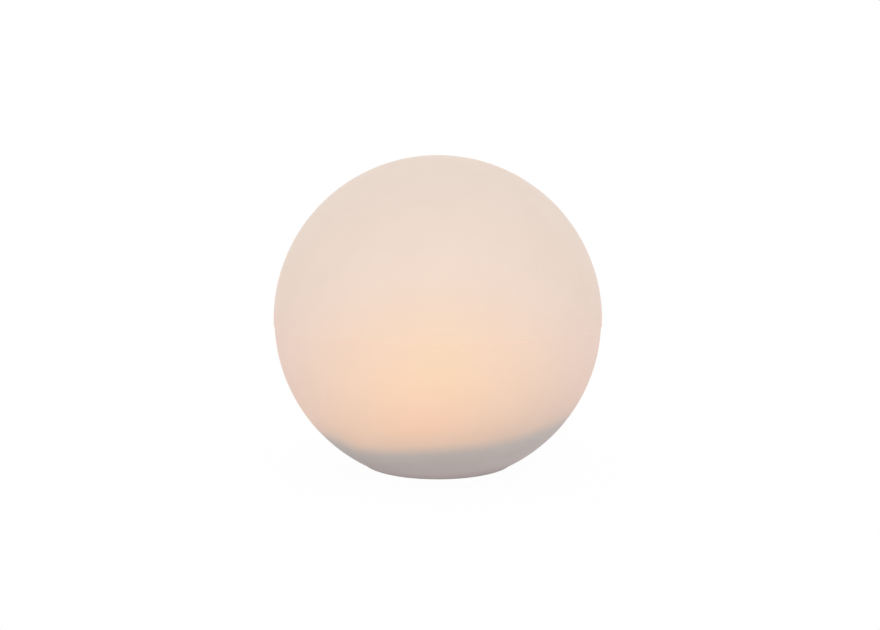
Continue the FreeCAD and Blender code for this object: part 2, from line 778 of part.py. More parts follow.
# The slider is drawn at the end of its travel where the lamp is on.
body = new_body("SliderBody")
grow(body, "slider_bar", "switch_base + 0.3", "switch_base + 2.4", lambda s: outline(s, [
    ("-2.0", "-1.2"), ("2.0", "-1.2"), ("2.0", "1.2"), ("-2.0", "1.2")]))
grow(body, "slider_knob", "1.2", "switch_base + 0.5", lambda s: outline(s, [
    ("-1.7", "-1.2"), ("1.7", "-1.2"), ("1.7", "1.2"), ("-1.7", "1.2")]))
for gx in (-1.0, 0.0, 1.0):
    sink(body, "grip_groove", "1.0", "1.55", lambda s: outline(s, [
        ("%s - 0.2" % gx, "-1.5"), ("%s + 0.2" % gx, "-1.5"), ("%s + 0.2" % gx, "1.5"), ("%s - 0.2" % gx, "1.5")]))
bind(body, "Placement.Base.x", "-travel / 2")
bind(body, "Placement.Base.y", "switch_y")
part("switch_slider", body)

# ================================================================ battery door
# Built round its hinge axis and placed there. Local y runs away from the hinge at -y.
body = new_body("DoorBody")
F, T = "door_face - axis_z", "door_face + door_thick - axis_z"
grow(body, "door_plate", F, T, lambda s: rounded(s, "-door_x", "door_x", "-door_low - axis_y", "door_high - axis_y", "door_round"))
grow(body, "door_neck", F, T, lambda s: outline(s, [
    ("-lug_radius", "-lug_y - axis_y"), ("lug_radius", "-lug_y - axis_y"),
    ("lug_radius", "-door_low - axis_y + 1"), ("-lug_radius", "-door_low - axis_y + 1")]))
grow(body, "door_lug", F, "lug_top - axis_z", lambda s: circle(s, "lug_radius", "0", "-lug_y - axis_y"))
arm = grow(body, "hinge_arm", F, T, lambda s: outline(s, [
    ("knuckle_from", "door_high - axis_y - 1"), ("knuckle_to", "door_high - axis_y - 1"),
    ("knuckle_to", "-0.01"), ("knuckle_from", "-0.01")]))
mirrored(body, "hinge_arms", [arm], "YZ_Plane")
knuckle = grow(body, "hinge_knuckle", "knuckle_from", "knuckle_to", lambda s: circle(s, "knuckle_radius"), "YZ_Plane")
mirrored(body, "hinge_knuckles", [knuckle], "YZ_Plane")
sink(body, "hinge_bore", "-knuckle_to - 1", "knuckle_to + 1", lambda s: circle(s, "pin_radius + 0.06"), "YZ_Plane")
rib = grow(body, "hold_down", "door_face + door_thick - axis_z - 0.2", "door_face + door_thick - axis_z + 1.0", lambda s: outline(s, [
    ("11.4", "-18 - axis_y"), ("12.6", "-18 - axis_y"), ("12.6", "18 - axis_y"), ("11.4", "18 - axis_y")]))
mirrored(body, "hold_downs", [rib], "YZ_Plane")
sink(body, "screw_seat", "door_face - axis_z - 0.1", "door_face - axis_z + 1.85", lambda s: circle(s, "3.0", "0", "-lug_y - axis_y"))
sink(body, "screw_way", "door_face - axis_z + 1", "lug_top - axis_z + 0.1", lambda s: circle(s, "1.5", "0", "-lug_y - axis_y"))
# grip lines beside the screw, cut in the outer face
for gy in (0.0, 1.6, 3.2):
    sink(body, "grip_line", "door_face - axis_z - 0.1", "door_face - axis_z + 0.4", lambda s: rounded(s, "-7.5", "7.5", "-door_low - axis_y + 2.2 + %s" % gy, "-door_low - axis_y + 3.0 + %s" % gy, "0.39"))
bind(body, "Placement.Base.y", "axis_y")
bind(body, "Placement.Base.z", "axis_z")
part("battery_door", body)

body = new_body("DoorGasketBody")
grow(body, "door_gasket", "0", "0.6", lambda s: (
    rounded(s, "-bay_x - 1.5", "bay_x + 1.5", "-bay_y - 1.5", "bay_y + 0.8", "bay_round + 2.6"),
    rounded(s, "-bay_x - 0.2", "bay_x + 0.2", "-bay_y - 0.2", "bay_y + 0.1", "bay_round + 0.2")))
bind(body, "Placement.Base.z", "door_face + door_thick")
part("door_gasket", body)
part("door_screw", screw("door_screw", "0", "-lug_y", "2.7", "1.25", "door_face + 0.1", "door_face + 1.85", "lug_top + 3.4"))
part(
    "door_insert",
    cut(
        "door_insert",
        cyl("insert_out", "insert_radius", "lug_top + 0.5", "lug_top + 5.5", "0", "-lug_y"),
        cyl("insert_in", "insert_bore", "lug_top", "lug_top + 6", "0", "-lug_y"),
    ),
)
part("door_hinge_pin", cyl("door_hinge_pin", "pin_radius", "-pin_half", "pin_half", "axis_y", "axis_z", axis="X"))

# ================================================================ cells and contacts
# Each cell is built along +X with its nub at the +X end. The middle one lies the other way.
for label, shift, flip in (
    ("battery_cell_front", "-cell_pitch", False),
    ("battery_cell_middle", "0", True),
    ("battery_cell_back", "cell_pitch", False),
):
    end = "bay_x - plate_thick - 0.05 - nub_high"
    if not flip:
        can = cyl("cell_can", "cell_radius", end + " - cell_body", end, shift, "cell_z", axis="X")
        nub = cyl("cell_nub", "nub_radius", end + " - 0.5", end + " + nub_high", shift, "cell_z", axis="X")
        x_flat = [val(end), val(end + " - cell_body")]
    else:
        can = cyl("cell_can", "cell_radius", "-(%s)" % end, "-(%s) + cell_body" % end, shift, "cell_z", axis="X")
        nub = cyl("cell_nub", "nub_radius", "-(%s) - nub_high" % end, "-(%s) + 0.5" % end, shift, "cell_z", axis="X")
        x_flat = [-val(end), -val(end + " - cell_body")]

    def rims(e, x_flat=x_flat):
        c = curve_of(e)
        return (
            isinstance(c, Part.Circle)
            and abs(c.Radius - val("cell_radius")) < 0.01
            and min(abs(c.Center.x - x) for x in x_flat) < 0.01
        )

    part(label, bevel(label, fuse(label + "_solid", can, nub), 0.5, rims))

plates = []
P0, P1 = "bay_x - plate_thick", "bay_x"
low, high = "cell_z - 5.8", "cell_z + 5.8"
# two links, each from one cell's nub to the next cell's flat end
plates.append(box("link_plate", P0, P1, "-cell_pitch - 4", "5", low, high))
plates.append(box("link_plate", "-bay_x", "-bay_x + plate_thick", "-5", "cell_pitch + 4", low, high))
# two terminals with a tab up into the chamber
plates.append(
    fuse(
        "end_plate",
        box("end_plate", "-bay_x", "-bay_x + plate_thick", "-cell_pitch - 4", "-cell_pitch + 4.2", low, high),
        box("end_tab", "-bay_x", "-bay_x + plate_thick", "-cell_pitch - 1.5", "-cell_pitch + 1.5", high, "chamber_floor + 1.6"),
    )
)
plates.append(
    fuse(
        "end_plate",
        box("end_plate", P0, P1, "cell_pitch - 4.2", "cell_pitch + 4", low, high),
        box("end_tab", P0, P1, "cell_pitch - 1.5", "cell_pitch + 1.5", high, "chamber_floor + 1.6"),
    )
)
part("contact_plates", group("contact_plates", plates))

# Conical springs press on the cells' flat ends. Wire 0.7 mm, three turns. Each is a ruled
# loft through eight-sided sections of the wire, one every 22.5 degrees along the cone.
def cone_spring(r_wide, r_small, rise, wire_r, turns):
    rings, steps = [], int(turns * 16)
    slope = rise / (2 * math.pi * turns)
    for i in range(steps + 1):
        t = i / steps
        a = 2 * math.pi * turns * t
        r = r_wide + (r_small - r_wide) * t
        at = V(r * math.cos(a), r * math.sin(a), rise * t)
        out = V(math.cos(a), math.sin(a), 0)
        along = V(-math.sin(a) * r, math.cos(a) * r, slope).normalize()
        up = out.cross(along).normalize() * -1
        corners = []
        for k in range(8):
            w = 2 * math.pi * (k + 0.5) / 8
            corners.append(at + out * (wire_r * math.cos(w)) + up * (wire_r * math.sin(w)))
        rings.append(Part.makePolygon(corners + [corners[0]]))
    return Part.makeLoft(rings, True, True)


springs = []
flat = val("bay_x - plate_thick - 0.05 - nub_high - cell_body")
for name, shift, side in (
    ("SpringFront", "-cell_pitch", -1),
    ("SpringMiddle", "0", 1),
    ("SpringBack", "cell_pitch", -1),
):
    wire_r = 0.35
    x_wall = val("bay_x - plate_thick")
    room = x_wall - abs(flat)
    one = doc.addObject("Part::Feature", name)
    one.Shape = cone_spring(4.4, 2.8, room - 2 * wire_r - 0.08, wire_r, 3)
    x = -x_wall + wire_r + 0.04 if side < 0 else x_wall - wire_r - 0.04
    one.Placement = FreeCAD.Placement(
        V(x, val(shift), val("cell_z")),
        FreeCAD.Rotation(V(0, 1, 0), 90 if side < 0 else -90),
    )
    springs.append(one)
part("contact_springs", group("contact_springs", springs))


# ================================================================ inside wires
def lead(label, points, bend, radius):
    """Round wire along straight runs joined by tangent arcs."""
    pts = [V(*p) for p in points]
    edges, at = [], pts[0]
    for i in range(1, len(pts) - 1):
        a = (pts[i - 1] - pts[i]).normalize()
        b = (pts[i + 1] - pts[i]).normalize()
        half = a.getAngle(b) / 2
        back = bend / math.tan(half)
        p, q = pts[i] + a * back, pts[i] + b * back
        mid_dir = (a + b).normalize()
        centre = pts[i] + mid_dir * (bend / math.sin(half))
        m = centre - mid_dir * bend
        edges.append(Part.LineSegment(at, p).toShape())
        edges.append(Part.Arc(p, m, q).toShape())
        at = q
    edges.append(Part.LineSegment(at, pts[-1]).toShape())
    path = Part.Wire(edges)
    start = (pts[1] - pts[0]).normalize()
    section = Part.Wire(Part.Circle(pts[0], start, radius).toShape())
    return path.makePipeShell([section], True, False)


z_board, z_run = val(TOP), val("drum_top") - 1.3
xw = val("bay_x - plate_thick")
tab = val("chamber_floor + 1.6")
pitch = val("cell_pitch")
red = lead("red", [(xw + 0.2, pitch, tab + 0.01), (xw + 0.2, pitch, z_run), (19.5, 10.5, z_run), (19.5, 10.5, z_board + 0.01)], 0.9, 0.6)
o = doc.addObject("Part::Feature", "PositiveWire")
o.Shape = red
part("positive_wire", o)
black = lead("black", [(-xw - 0.2, -pitch, tab + 0.01), (-xw - 0.2, -pitch, z_run), (-19.5, -10.5, z_run), (-19.5, -10.5, z_board + 0.01)], 0.9, 0.6)
o = doc.addObject("Part::Feature", "NegativeWire")
o.Shape = black
part("negative_wire", o)
three = []
for x, x_end in ((-3.0, -3.6), (0.0, 0.4), (3.0, 4.4)):
    three.append(
        lead("switch", [(x, val("switch_y"), val("switch_base + switch_tall") + 3.42), (x, val("switch_y"), z_run), (x_end, 12.2, z_run), (x_end, 12.2, z_board + 0.01)], 0.9, 0.6)
    )
o = doc.addObject("Part::Feature", "SwitchWires")
o.Shape = Part.makeCompound(three)
part("switch_wires", o)

# ================================================================ check and write
doc.recompute()
for o in doc.Objects:
    if "Invalid" in o.State or "Error" in o.State:
        raise RuntimeError("%s (%s) did not build: %s" % (o.Name, o.Label, o.State))
    if o.TypeId == "Sketcher::SketchObject" and not o.FullyConstrained:
        raise RuntimeError("%s is not fully held" % o.Name)
for label, o in PARTS.items():
    shape = o.Shape
    if shape.isNull() or not shape.isValid() or not shape.Solids:
        raise RuntimeError("%s has no valid solid" % label)
for label, o in PARTS.items():
    o.Shape.exportStep("parts/%s.step" % label)
    bb = o.Shape.BoundBox
    print("%-22s %2d solids  %9.1f mm3  x %7.2f %7.2f  y %7.2f %7.2f  z %7.2f %7.2f" % (
        label, len(o.Shape.Solids), o.Shape.Volume, bb.XMin, bb.XMax, bb.YMin, bb.YMax, bb.ZMin, bb.ZMax))
print(len(PARTS), "sub-parts written")
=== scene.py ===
# Garden globe light: the looks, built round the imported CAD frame.
# Everything is in metres, in the frame of the CAD part.
import math
import random

import bmesh
import bpy
from mathutils import Matrix, Vector


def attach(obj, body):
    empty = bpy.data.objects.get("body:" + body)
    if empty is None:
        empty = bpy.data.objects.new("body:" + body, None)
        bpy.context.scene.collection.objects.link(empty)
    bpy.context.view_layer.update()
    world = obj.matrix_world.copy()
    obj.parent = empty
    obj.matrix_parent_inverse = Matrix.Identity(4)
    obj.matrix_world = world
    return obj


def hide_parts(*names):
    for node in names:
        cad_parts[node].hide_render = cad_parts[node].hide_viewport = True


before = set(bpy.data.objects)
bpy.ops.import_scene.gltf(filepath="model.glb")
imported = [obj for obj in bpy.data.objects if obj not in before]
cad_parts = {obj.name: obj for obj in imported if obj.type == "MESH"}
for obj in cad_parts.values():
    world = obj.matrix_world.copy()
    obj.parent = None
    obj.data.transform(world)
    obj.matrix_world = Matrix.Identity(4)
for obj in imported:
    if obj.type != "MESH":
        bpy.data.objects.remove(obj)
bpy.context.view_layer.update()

MM = 0.001
CENTRE = Vector((0.0, 0.0, 0.0885))
R_UP, R_LOW, WALL = 0.100, 0.0995, 0.0025

# ------------------------------------------------------------------ camera
IMG_W, IMG_H = 880, 630
ELEV = math.radians(6.18)
DIST = 0.600
cam_data = bpy.data.cameras.new("view_camera")
cam = bpy.data.objects.new("view_camera", cam_data)
bpy.context.scene.collection.objects.link(cam)
cam_data.sensor_width = 36.0
cam_data.lens = 39.74
cam_data.shift_x = 2.15 / IMG_W
cam_data.shift_y = 4.25 / IMG_W
cam_data.clip_start, cam_data.clip_end = 0.02, 30.0
back = Vector((0.0, -math.cos(ELEV), math.sin(ELEV)))
cam.location = CENTRE + back * DIST
cam.rotation_mode = "QUATERNION"
cam.rotation_quaternion = (-back).to_track_quat("-Z", "Y")
bpy.context.scene.camera = cam

# ------------------------------------------------------------------ studio
scene = bpy.context.scene
scene.view_settings.view_transform = "Standard"
scene.view_settings.look = "None"
scene.view_settings.exposure = 0.0
scene.view_settings.gamma = 1.0

world = bpy.data.worlds.new("studio_white")
scene.world = world
world.use_nodes = True
wt = world.node_tree
wt.nodes.clear()
w_out = wt.nodes.new("ShaderNodeOutputWorld")
w_bg = wt.nodes.new("ShaderNodeBackground")
w_bg.inputs["Color"].default_value = (1.0, 1.0, 1.0, 1.0)
w_bg.inputs["Strength"].default_value = 1.0
wt.links.new(w_bg.outputs[0], w_out.inputs[0])


# ------------------------------------------------------------------ material kit
class Mat:
    """A Principled material and short names for the nodes that feed it."""

    def __init__(self, name, **plain):
        self.m = bpy.data.materials.new(name)
        self.m.use_nodes = True
        self.t = self.m.node_tree
        self.t.nodes.clear()
        self.out = self.t.nodes.new("ShaderNodeOutputMaterial")
        self.b = self.t.nodes.new("ShaderNodeBsdfPrincipled")
        self.t.links.new(self.b.outputs[0], self.out.inputs[0])
        self.at = self.t.nodes.new("ShaderNodeTexCoord").outputs["Object"]
        for k, v in plain.items():
            self.set(k, v)

    def set(self, key, v):
        names = {
            "rough": "Roughness", "metal": "Metallic", "ior": "IOR", "spec": "Specular IOR Level",
            "coat": "Coat Weight", "coat_rough": "Coat Roughness", "coat_ior": "Coat IOR", "sheen": "Sheen Weight",
            "sheen_rough": "Sheen Roughness", "sheen_tint": "Sheen Tint", "emit": "Emission Strength",
            "emit_color": "Emission Color", "color": "Base Color", "trans": "Transmission Weight",
            "aniso": "Anisotropic", "coat_tint": "Coat Tint", "normal": "Normal",
            "sss": "Subsurface Weight", "sss_scale": "Subsurface Scale",
        }
        s = self.b.inputs[names.get(key, key)]
        if isinstance(v, bpy.types.NodeSocket):
            self.t.links.new(v, s)
        elif isinstance(v, (tuple, list)):
            s.default_value = tuple(v) if len(v) == 4 or s.type == "VECTOR" else (*v, 1.0)
        else:
            s.default_value = v

    def put(self, socket, v):
        if isinstance(v, bpy.types.NodeSocket):
            self.t.links.new(v, socket)
        elif isinstance(v, (tuple, list, Vector)):
            n = len(socket.default_value)
            v = tuple(v)
            socket.default_value = v if len(v) == n else (*v, 1.0)[:n]
        else:
            socket.default_value = v

    def math(self, op, a, b=None, clamp=False):
        n = self.t.nodes.new("ShaderNodeMath")
        n.operation, n.use_clamp = op, clamp
        self.put(n.inputs[0], a)
        if b is not None:
            self.put(n.inputs[1], b)
        return n.outputs[0]

    def add(self, a, b):
        return self.math("ADD", a, b)

    def mul(self, a, b):
        return self.math("MULTIPLY", a, b)

    def vec(self, op, a, b=None, out=0):
        n = self.t.nodes.new("ShaderNodeVectorMath")
        n.operation = op
        self.put(n.inputs[0], a)
        if b is not None:
            self.put(n.inputs[1], b)
        return n.outputs[out]

    def dot(self, a, b):
        return self.vec("DOT_PRODUCT", a, b, "Value")

    def length(self, a):
        return self.vec("LENGTH", a, None, "Value")

    def xyz(self, v=None):
        n = self.t.nodes.new("ShaderNodeSeparateXYZ")
        self.put(n.inputs[0], self.at if v is None else v)
        return n.outputs[0], n.outputs[1], n.outputs[2]

    def join(self, x, y, z):
        n = self.t.nodes.new("ShaderNodeCombineXYZ")
        for s, v in zip(n.inputs, (x, y, z)):
            self.put(s, v)
        return n.outputs[0]

    def ramp(self, v, a, b, lo=0.0, hi=1.0, soft="SMOOTHSTEP"):
        """v from a to b becomes lo to hi."""
        n = self.t.nodes.new("ShaderNodeMapRange")
        n.interpolation_type = soft
        for k, x in zip(("Value", "From Min", "From Max", "To Min", "To Max"), (v, a, b, lo, hi)):
            self.put(n.inputs[k], x)
        return n.outputs[0]

    def mix(self, f, a, b):
        n = self.t.nodes.new("ShaderNodeMix")
        n.data_type = "RGBA"
        self.put(n.inputs[0], f)
        self.put(n.inputs[6], a)
        self.put(n.inputs[7], b)
        return n.outputs[2]

    def noise(self, scale, detail=3.0, rough=0.5, vec=None, distort=0.0, color=False):
        n = self.t.nodes.new("ShaderNodeTexNoise")
        self.put(n.inputs["Vector"], self.at if vec is None else vec)
        self.put(n.inputs["Scale"], scale)
        self.put(n.inputs["Detail"], detail)
        self.put(n.inputs["Roughness"], rough)
        self.put(n.inputs["Distortion"], distort)
        return n.outputs[1 if color else 0]

    def cells(self, scale, feature="F1", vec=None, out=0, random=1.0):
        n = self.t.nodes.new("ShaderNodeTexVoronoi")
        n.feature = feature
        self.put(n.inputs["Vector"], self.at if vec is None else vec)
        self.put(n.inputs["Scale"], scale)
        self.put(n.inputs["Randomness"], random)
        return n.outputs[out]

    def wave(self, scale, vec=None, kind="BANDS", direction="X", distort=0.0, detail=0.0):
        n = self.t.nodes.new("ShaderNodeTexWave")
        n.wave_type = kind
        if kind == "BANDS":
            n.bands_direction = direction
        else:
            n.rings_direction = direction
        self.put(n.inputs["Vector"], self.at if vec is None else vec)
        self.put(n.inputs["Scale"], scale)
        self.put(n.inputs["Distortion"], distort)
        self.put(n.inputs["Detail"], detail)
        return n.outputs[1]

    def bump(self, height, strength, distance, under=None):
        n = self.t.nodes.new("ShaderNodeBump")
        self.put(n.inputs["Height"], height)
        self.put(n.inputs["Strength"], strength)
        self.put(n.inputs["Distance"], distance)
        if under is not None:
            self.put(n.inputs["Normal"], under)
        return n.outputs[0]

    def scaled(self, s, v=None):
        return self.vec("MULTIPLY", self.at if v is None else v, s)


# Moulded plastic: slow colour drift, fine spark texture, a little dust low in the texture.
def plastic(name, color, dark, rough=0.45, grain=2600.0, depth=0.00004, drift=45.0, sheen=0.0, spec=0.5, strength=0.5):
    k = Mat(name, spec=spec, sheen=sheen, ior=1.49)
    slow = k.noise(drift, 4.0, 0.55)
    fine = k.noise(grain, 2.0, 0.6)
    speck = k.ramp(k.noise(700.0, 2.0, 0.7), 0.60, 0.78)
    tint = k.mix(k.ramp(slow, 0.35, 0.7), color, dark)
    tint = k.mix(k.mul(speck, 0.12), tint, tuple(c * 0.55 for c in dark))
    k.set("color", tint)
    k.set("rough", k.ramp(k.add(k.mul(slow, 0.6), k.mul(fine, 0.4)), 0.3, 0.7, rough - 0.06, rough + 0.08))
    wide = k.bump(slow, 0.12, 0.0006)
    k.set("normal", k.bump(fine, strength, depth, wide))
    return k.m


# Metal: drawn lines along one direction, small pits, tarnish in slow patches.
def metal(name, color, dark, rough=0.28, along=(1.0, 1.0, 0.02), scale=1500.0, pits=0.3, tarnish=0.35):
    k = Mat(name, metal=1.0)
    lines = k.noise(scale, 3.0, 0.65, vec=k.scaled(along))
    slow = k.noise(160.0, 5.0, 0.6)
    pit = k.ramp(k.cells(900.0), 0.0, 0.28, 1.0, 0.0)
    tint = k.mix(k.mul(k.ramp(slow, 0.42, 0.72), tarnish), color, dark)
    tint = k.mix(k.mul(pit, 0.25 * pits), tint, tuple(c * 0.4 for c in dark))
    k.set("color", tint)
    k.set("rough", k.ramp(k.add(k.mul(lines, 0.5), k.mul(slow, 0.5)), 0.3, 0.7, rough - 0.08, rough + 0.16))
    k.set("normal", k.bump(k.add(lines, k.mul(pit, -0.4 * pits)), 0.22, 0.00003))
    return k.m


# The opal plastic of both halves. The diode's light that comes through the wall is painted into its emission by where a
# point stands on the globe: warm and strong on the front and the back, paler towards the top, and a painted shadow
# below the line where the module's lid hides the diode.
def opal():
    k = Mat("opal_plastic", ior=1.46, spec=0.11)
    p = k.vec("DIVIDE", k.vec("SUBTRACT", k.at, tuple(CENTRE)), (0.1, 0.1, 0.1))
    x, y, z = k.xyz(p)
    # moulding: slow drift in wall thickness, fine orange-peel, a few scuffs
    drift = k.noise(16.0, 3.0, 0.5)
    cloud = k.noise(52.0, 4.0, 0.6)
    peel = k.noise(520.0, 2.0, 0.5)
    fine = k.noise(3100.0, 2.0, 0.6)
    scuff = k.ramp(k.noise(240.0, 6.0, 0.72, vec=k.scaled((1.0, 1.0, 0.16)), distort=1.6), 0.60, 0.74)
    base = k.mix(k.ramp(cloud, 0.3, 0.7), (0.545, 0.531, 0.511), (0.533, 0.519, 0.500))
    base = k.mix(k.mul(scuff, 0.10), base, (0.60, 0.60, 0.60))
    k.set("color", base)
    k.set("rough", k.add(k.ramp(k.add(k.mul(cloud, 0.5), k.mul(drift, 0.5)), 0.3, 0.7, 0.45, 0.52), k.mul(scuff, 0.09)))
    k.set("normal", k.bump(peel, 0.10, 0.00025, k.bump(fine, 0.10, 0.00003)))

    # glow
    def blob(c, s, at=p):
        q = k.vec("DIVIDE", k.vec("SUBTRACT", at, c), s)
        return k.math("EXPONENT", k.mul(k.dot(q, q), -0.5))

    # painted light: the front and the back glow alike, brightest in their middles, paler over the rest
    fold = k.mul(k.math("SQRT", k.add(k.mul(y, y), 0.006)), -1.0)
    both = k.join(x, fold, z)
    far = k.mix(k.ramp(z, 0.343, -0.10), (0.221, 0.119, 0.060), (0.265, 0.114, 0.076))
    glow = k.mix(blob((0.0, -0.95, 0.179), (0.677, 0.80, 0.504), both), far, (0.371, 0.233, 0.164))
    glow = k.mix(blob((-0.03, -0.95, -0.266), (0.456, 0.80, 0.338), both), glow, (0.500, 0.233, 0.062))
    # faint unevenness of the glow
    glow = k.mix(k.mul(blob((0.0, -0.78, -0.58), (0.55, 0.50, 0.12)), 0.25), glow, (0.42, 0.18, 0.0))
    glow = k.mix(k.mul(blob((0.03, -0.98, -0.06), (0.13, 0.30, 0.13)), 0.12), glow, (0.44, 0.36, 0.02))
    glow = k.mix(k.mul(blob((-0.06, -0.87, -0.48), (0.20, 0.30, 0.12)), 0.12), glow, (0.62, 0.06, 0.0))
    # the wall's drift shows faintly where light comes through it
    glow = k.mix(k.ramp(drift, 0.35, 0.65, 0.0, 0.03), glow, (0.26, 0.15, 0.07))
    # the lid hides the diode below a tilted plane; the edge is soft and a little uneven
    edge = k.add(k.add(z, k.mul(x, -0.075)), k.mul(y, 0.024))
    dip = k.math("EXPONENT", k.mul(k.math("POWER", k.math("DIVIDE", k.add(x, 0.32), 0.16), 2.0), -0.5))
    edge = k.add(k.add(edge, k.mul(dip, 0.010)), k.ramp(x, 0.28, 0.72, 0.0, -0.036))
    edge = k.add(edge, k.ramp(x, -0.44, -0.62, 0.0, -0.045))
    edge = k.add(edge, k.mul(k.add(drift, -0.5), 0.02))
    lit = k.add(k.ramp(edge, -0.705, -0.602, 0.0, 0.77), k.ramp(edge, -0.65, -0.49, 0.0, 0.23))
    # painted light inside the lid's shadow: the faint light that still reaches there, painted brighter towards the
    # foot, where it fills in the shade from the floor
    low = k.mix(k.ramp(edge, -0.74, -0.86), (0.080, 0.061, 0.061), (0.149, 0.118, 0.121))
    glow = k.mix(lit, low, glow)
    # painted shade: the glow is dimmed on the foot's rounding at the very bottom
    glow = k.mix(k.ramp(z, -0.870, -0.884), glow, (0.050, 0.036, 0.030))
    # a little less light comes out low on one side
    glow = k.mix(k.mul(blob((0.50, -0.70, -0.62), (0.40, 0.60, 0.20)), 0.20), glow, (0.06, 0.0, 0.0))
    # painted light along the lap joint, the same all round: a thin bright band that stands for light leaking through
    # the joint and fills in the joint's shade
    slit = k.math("EXPONENT", k.mul(k.math("POWER", k.math("DIVIDE", k.add(z, 0.0234), 0.0013), 2.0), -0.5))
    glow = k.mix(k.mul(slit, 0.14), glow, (0.73, 0.60, 0.60))
    # painted light below the upper half's overhang: the outer wall of the lower half is brightened there, filling in
    # the shade the overhang casts
    depth = k.math("MAXIMUM", k.mul(k.add(z, 0.0238), -200.0), 0.0)
    overhang_fill_light = k.add(k.mul(k.math("DIVIDE", depth, k.math("SQRT", k.add(k.mul(depth, depth), 1.0))), -1.0), 1.0)
    overhang_fill_light = k.mul(k.mul(overhang_fill_light, k.ramp(z, -0.0233, -0.0240)), k.ramp(k.math("SQRT", k.add(k.mul(x, x), k.mul(y, y))), 0.978, 0.988, 0.0, 0.05))
    glow = k.vec("ADD", glow, k.join(overhang_fill_light, k.mul(overhang_fill_light, 1.1), k.mul(overhang_fill_light, 1.3)))
    k.set("emit_color", glow)
    k.set("emit", 1.0)
    k.set("sheen", 0.0)
    return k.m


# ------------------------------------------------------------------ mesh kit
def finish_mesh(name, bm, material, body, replaces=(), smooth=32.0):
    """A bmesh becomes a piece on its body."""
    bmesh.ops.recalc_face_normals(bm, faces=bm.faces)
    for f in bm.faces:
        f.smooth = True
    lim = math.radians(smooth)
    for e in bm.edges:
        if len(e.link_faces) == 2:
            e.smooth = e.calc_face_angle(0.0) < lim
    me = bpy.data.meshes.new(name)
    bm.to_mesh(me)
    bm.free()
    me.materials.append(material)
    o = bpy.data.objects.new(name, me)
    scene.collection.objects.link(o)
    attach(o, body)
    if replaces:
        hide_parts(*replaces)
    return o


def rounded_path(points, radii, n=6):
    """Closed outline with its corners rounded. radii: one number, or one for each corner."""
    out, c = [], len(points)
    if not isinstance(radii, (list, tuple)):
        radii = [radii] * c
    for i in range(c):
        p, a, b = (Vector(points[j % c]) for j in (i, i - 1, i + 1))
        u, v = a - p, b - p
        r = radii[i]
        if r <= 0 or u.length < 1e-9 or v.length < 1e-9:
            out.append(p)
            continue
        u.normalize()
        v.normalize()
        ang = math.acos(max(-1.0, min(1.0, u.dot(v))))
        if ang > math.pi - 0.02:
            out.append(p)
            continue
        back_by = r / math.tan(ang / 2)
        m = (u + v).normalized() * (r / math.sin(ang / 2))
        s, e, mid = p + u * back_by - (p + m), p + v * back_by - (p + m), p + m
        turn = math.pi - ang
        side = 1.0 if s.x * e.y - s.y * e.x > 0 else -1.0
        for j in range(n + 1):
            t = side * turn * j / n
            out.append(mid + Vector((s.x * math.cos(t) - s.y * math.sin(t), s.x * math.sin(t) + s.y * math.cos(t))))
    return out


def arc(cx, cy, r, a0, a1, n):
    return [Vector((cx + r * math.cos(math.radians(a0 + (a1 - a0) * i / n)), cy + r * math.sin(math.radians(a0 + (a1 - a0) * i / n)))) for i in range(n + 1)]


def lathe(bm, profile, seg=96, closed=True, at=(0.0, 0.0), axis="Z"):
    """Turns a profile of (radius, height) points in millimetres. Points on the axis become poles."""
    rows = []
    for p in profile:
        r, h = p[0] * MM, p[1] * MM
        ring = []
        for i in range(seg if r > 1e-8 else 1):
            a = 2 * math.pi * i / seg
            c, s = r * math.cos(a), r * math.sin(a)
            if axis == "Z":
                q = (at[0] * MM + c, at[1] * MM + s, h)
            elif axis == "X":
                q = (h, at[0] * MM + c, at[1] * MM + s)
            ring.append(bm.verts.new(q))
        rows.append(ring)
    pairs = list(zip(rows, rows[1:] + rows[:1])) if closed else list(zip(rows, rows[1:]))
    made = []
    for a, b in pairs:
        if len(a) == 1 and len(b) == 1:
            continue
        for i in range(seg):
            j = (i + 1) % seg
            if len(a) == 1:
                made.append(bm.faces.new((a[0], b[i], b[j])))
            elif len(b) == 1:
                made.append(bm.faces.new((a[i], b[0], a[j])))
            else:
                made.append(bm.faces.new((a[i], b[i], b[j], a[j])))
    return made


def weld(bm, dist=2e-6):
    bmesh.ops.remove_doubles(bm, verts=bm.verts, dist=dist)


def carve(o, cutters):
    """Takes the cutters' meshes away from a piece, and keeps the result as its mesh."""
    for c in cutters:
        m = o.modifiers.new("cut", "BOOLEAN")
        m.operation, m.solver, m.object = "DIFFERENCE", "EXACT", c
    dg = bpy.context.evaluated_depsgraph_get()
    me = bpy.data.meshes.new_from_object(o.evaluated_get(dg))
    o.modifiers.clear()
    o.data = me
    for c in cutters:
        bpy.data.objects.remove(c)
    return o


def loose(name, bm):
    """A mesh that is only a tool."""
    bmesh.ops.recalc_face_normals(bm, faces=bm.faces)
    me = bpy.data.meshes.new(name)
    bm.to_mesh(me)
    bm.free()
    o = bpy.data.objects.new(name, me)
    scene.collection.objects.link(o)
    return o


def set_sharp(o, smooth=32.0):
    bm = bmesh.new()
    bm.from_mesh(o.data)
    lim = math.radians(smooth)
    for f in bm.faces:
        f.smooth = True
    for e in bm.edges:
        e.smooth = len(e.link_faces) == 2 and e.calc_face_angle(0.0) < lim
    bm.to_mesh(o.data)
    bm.free()


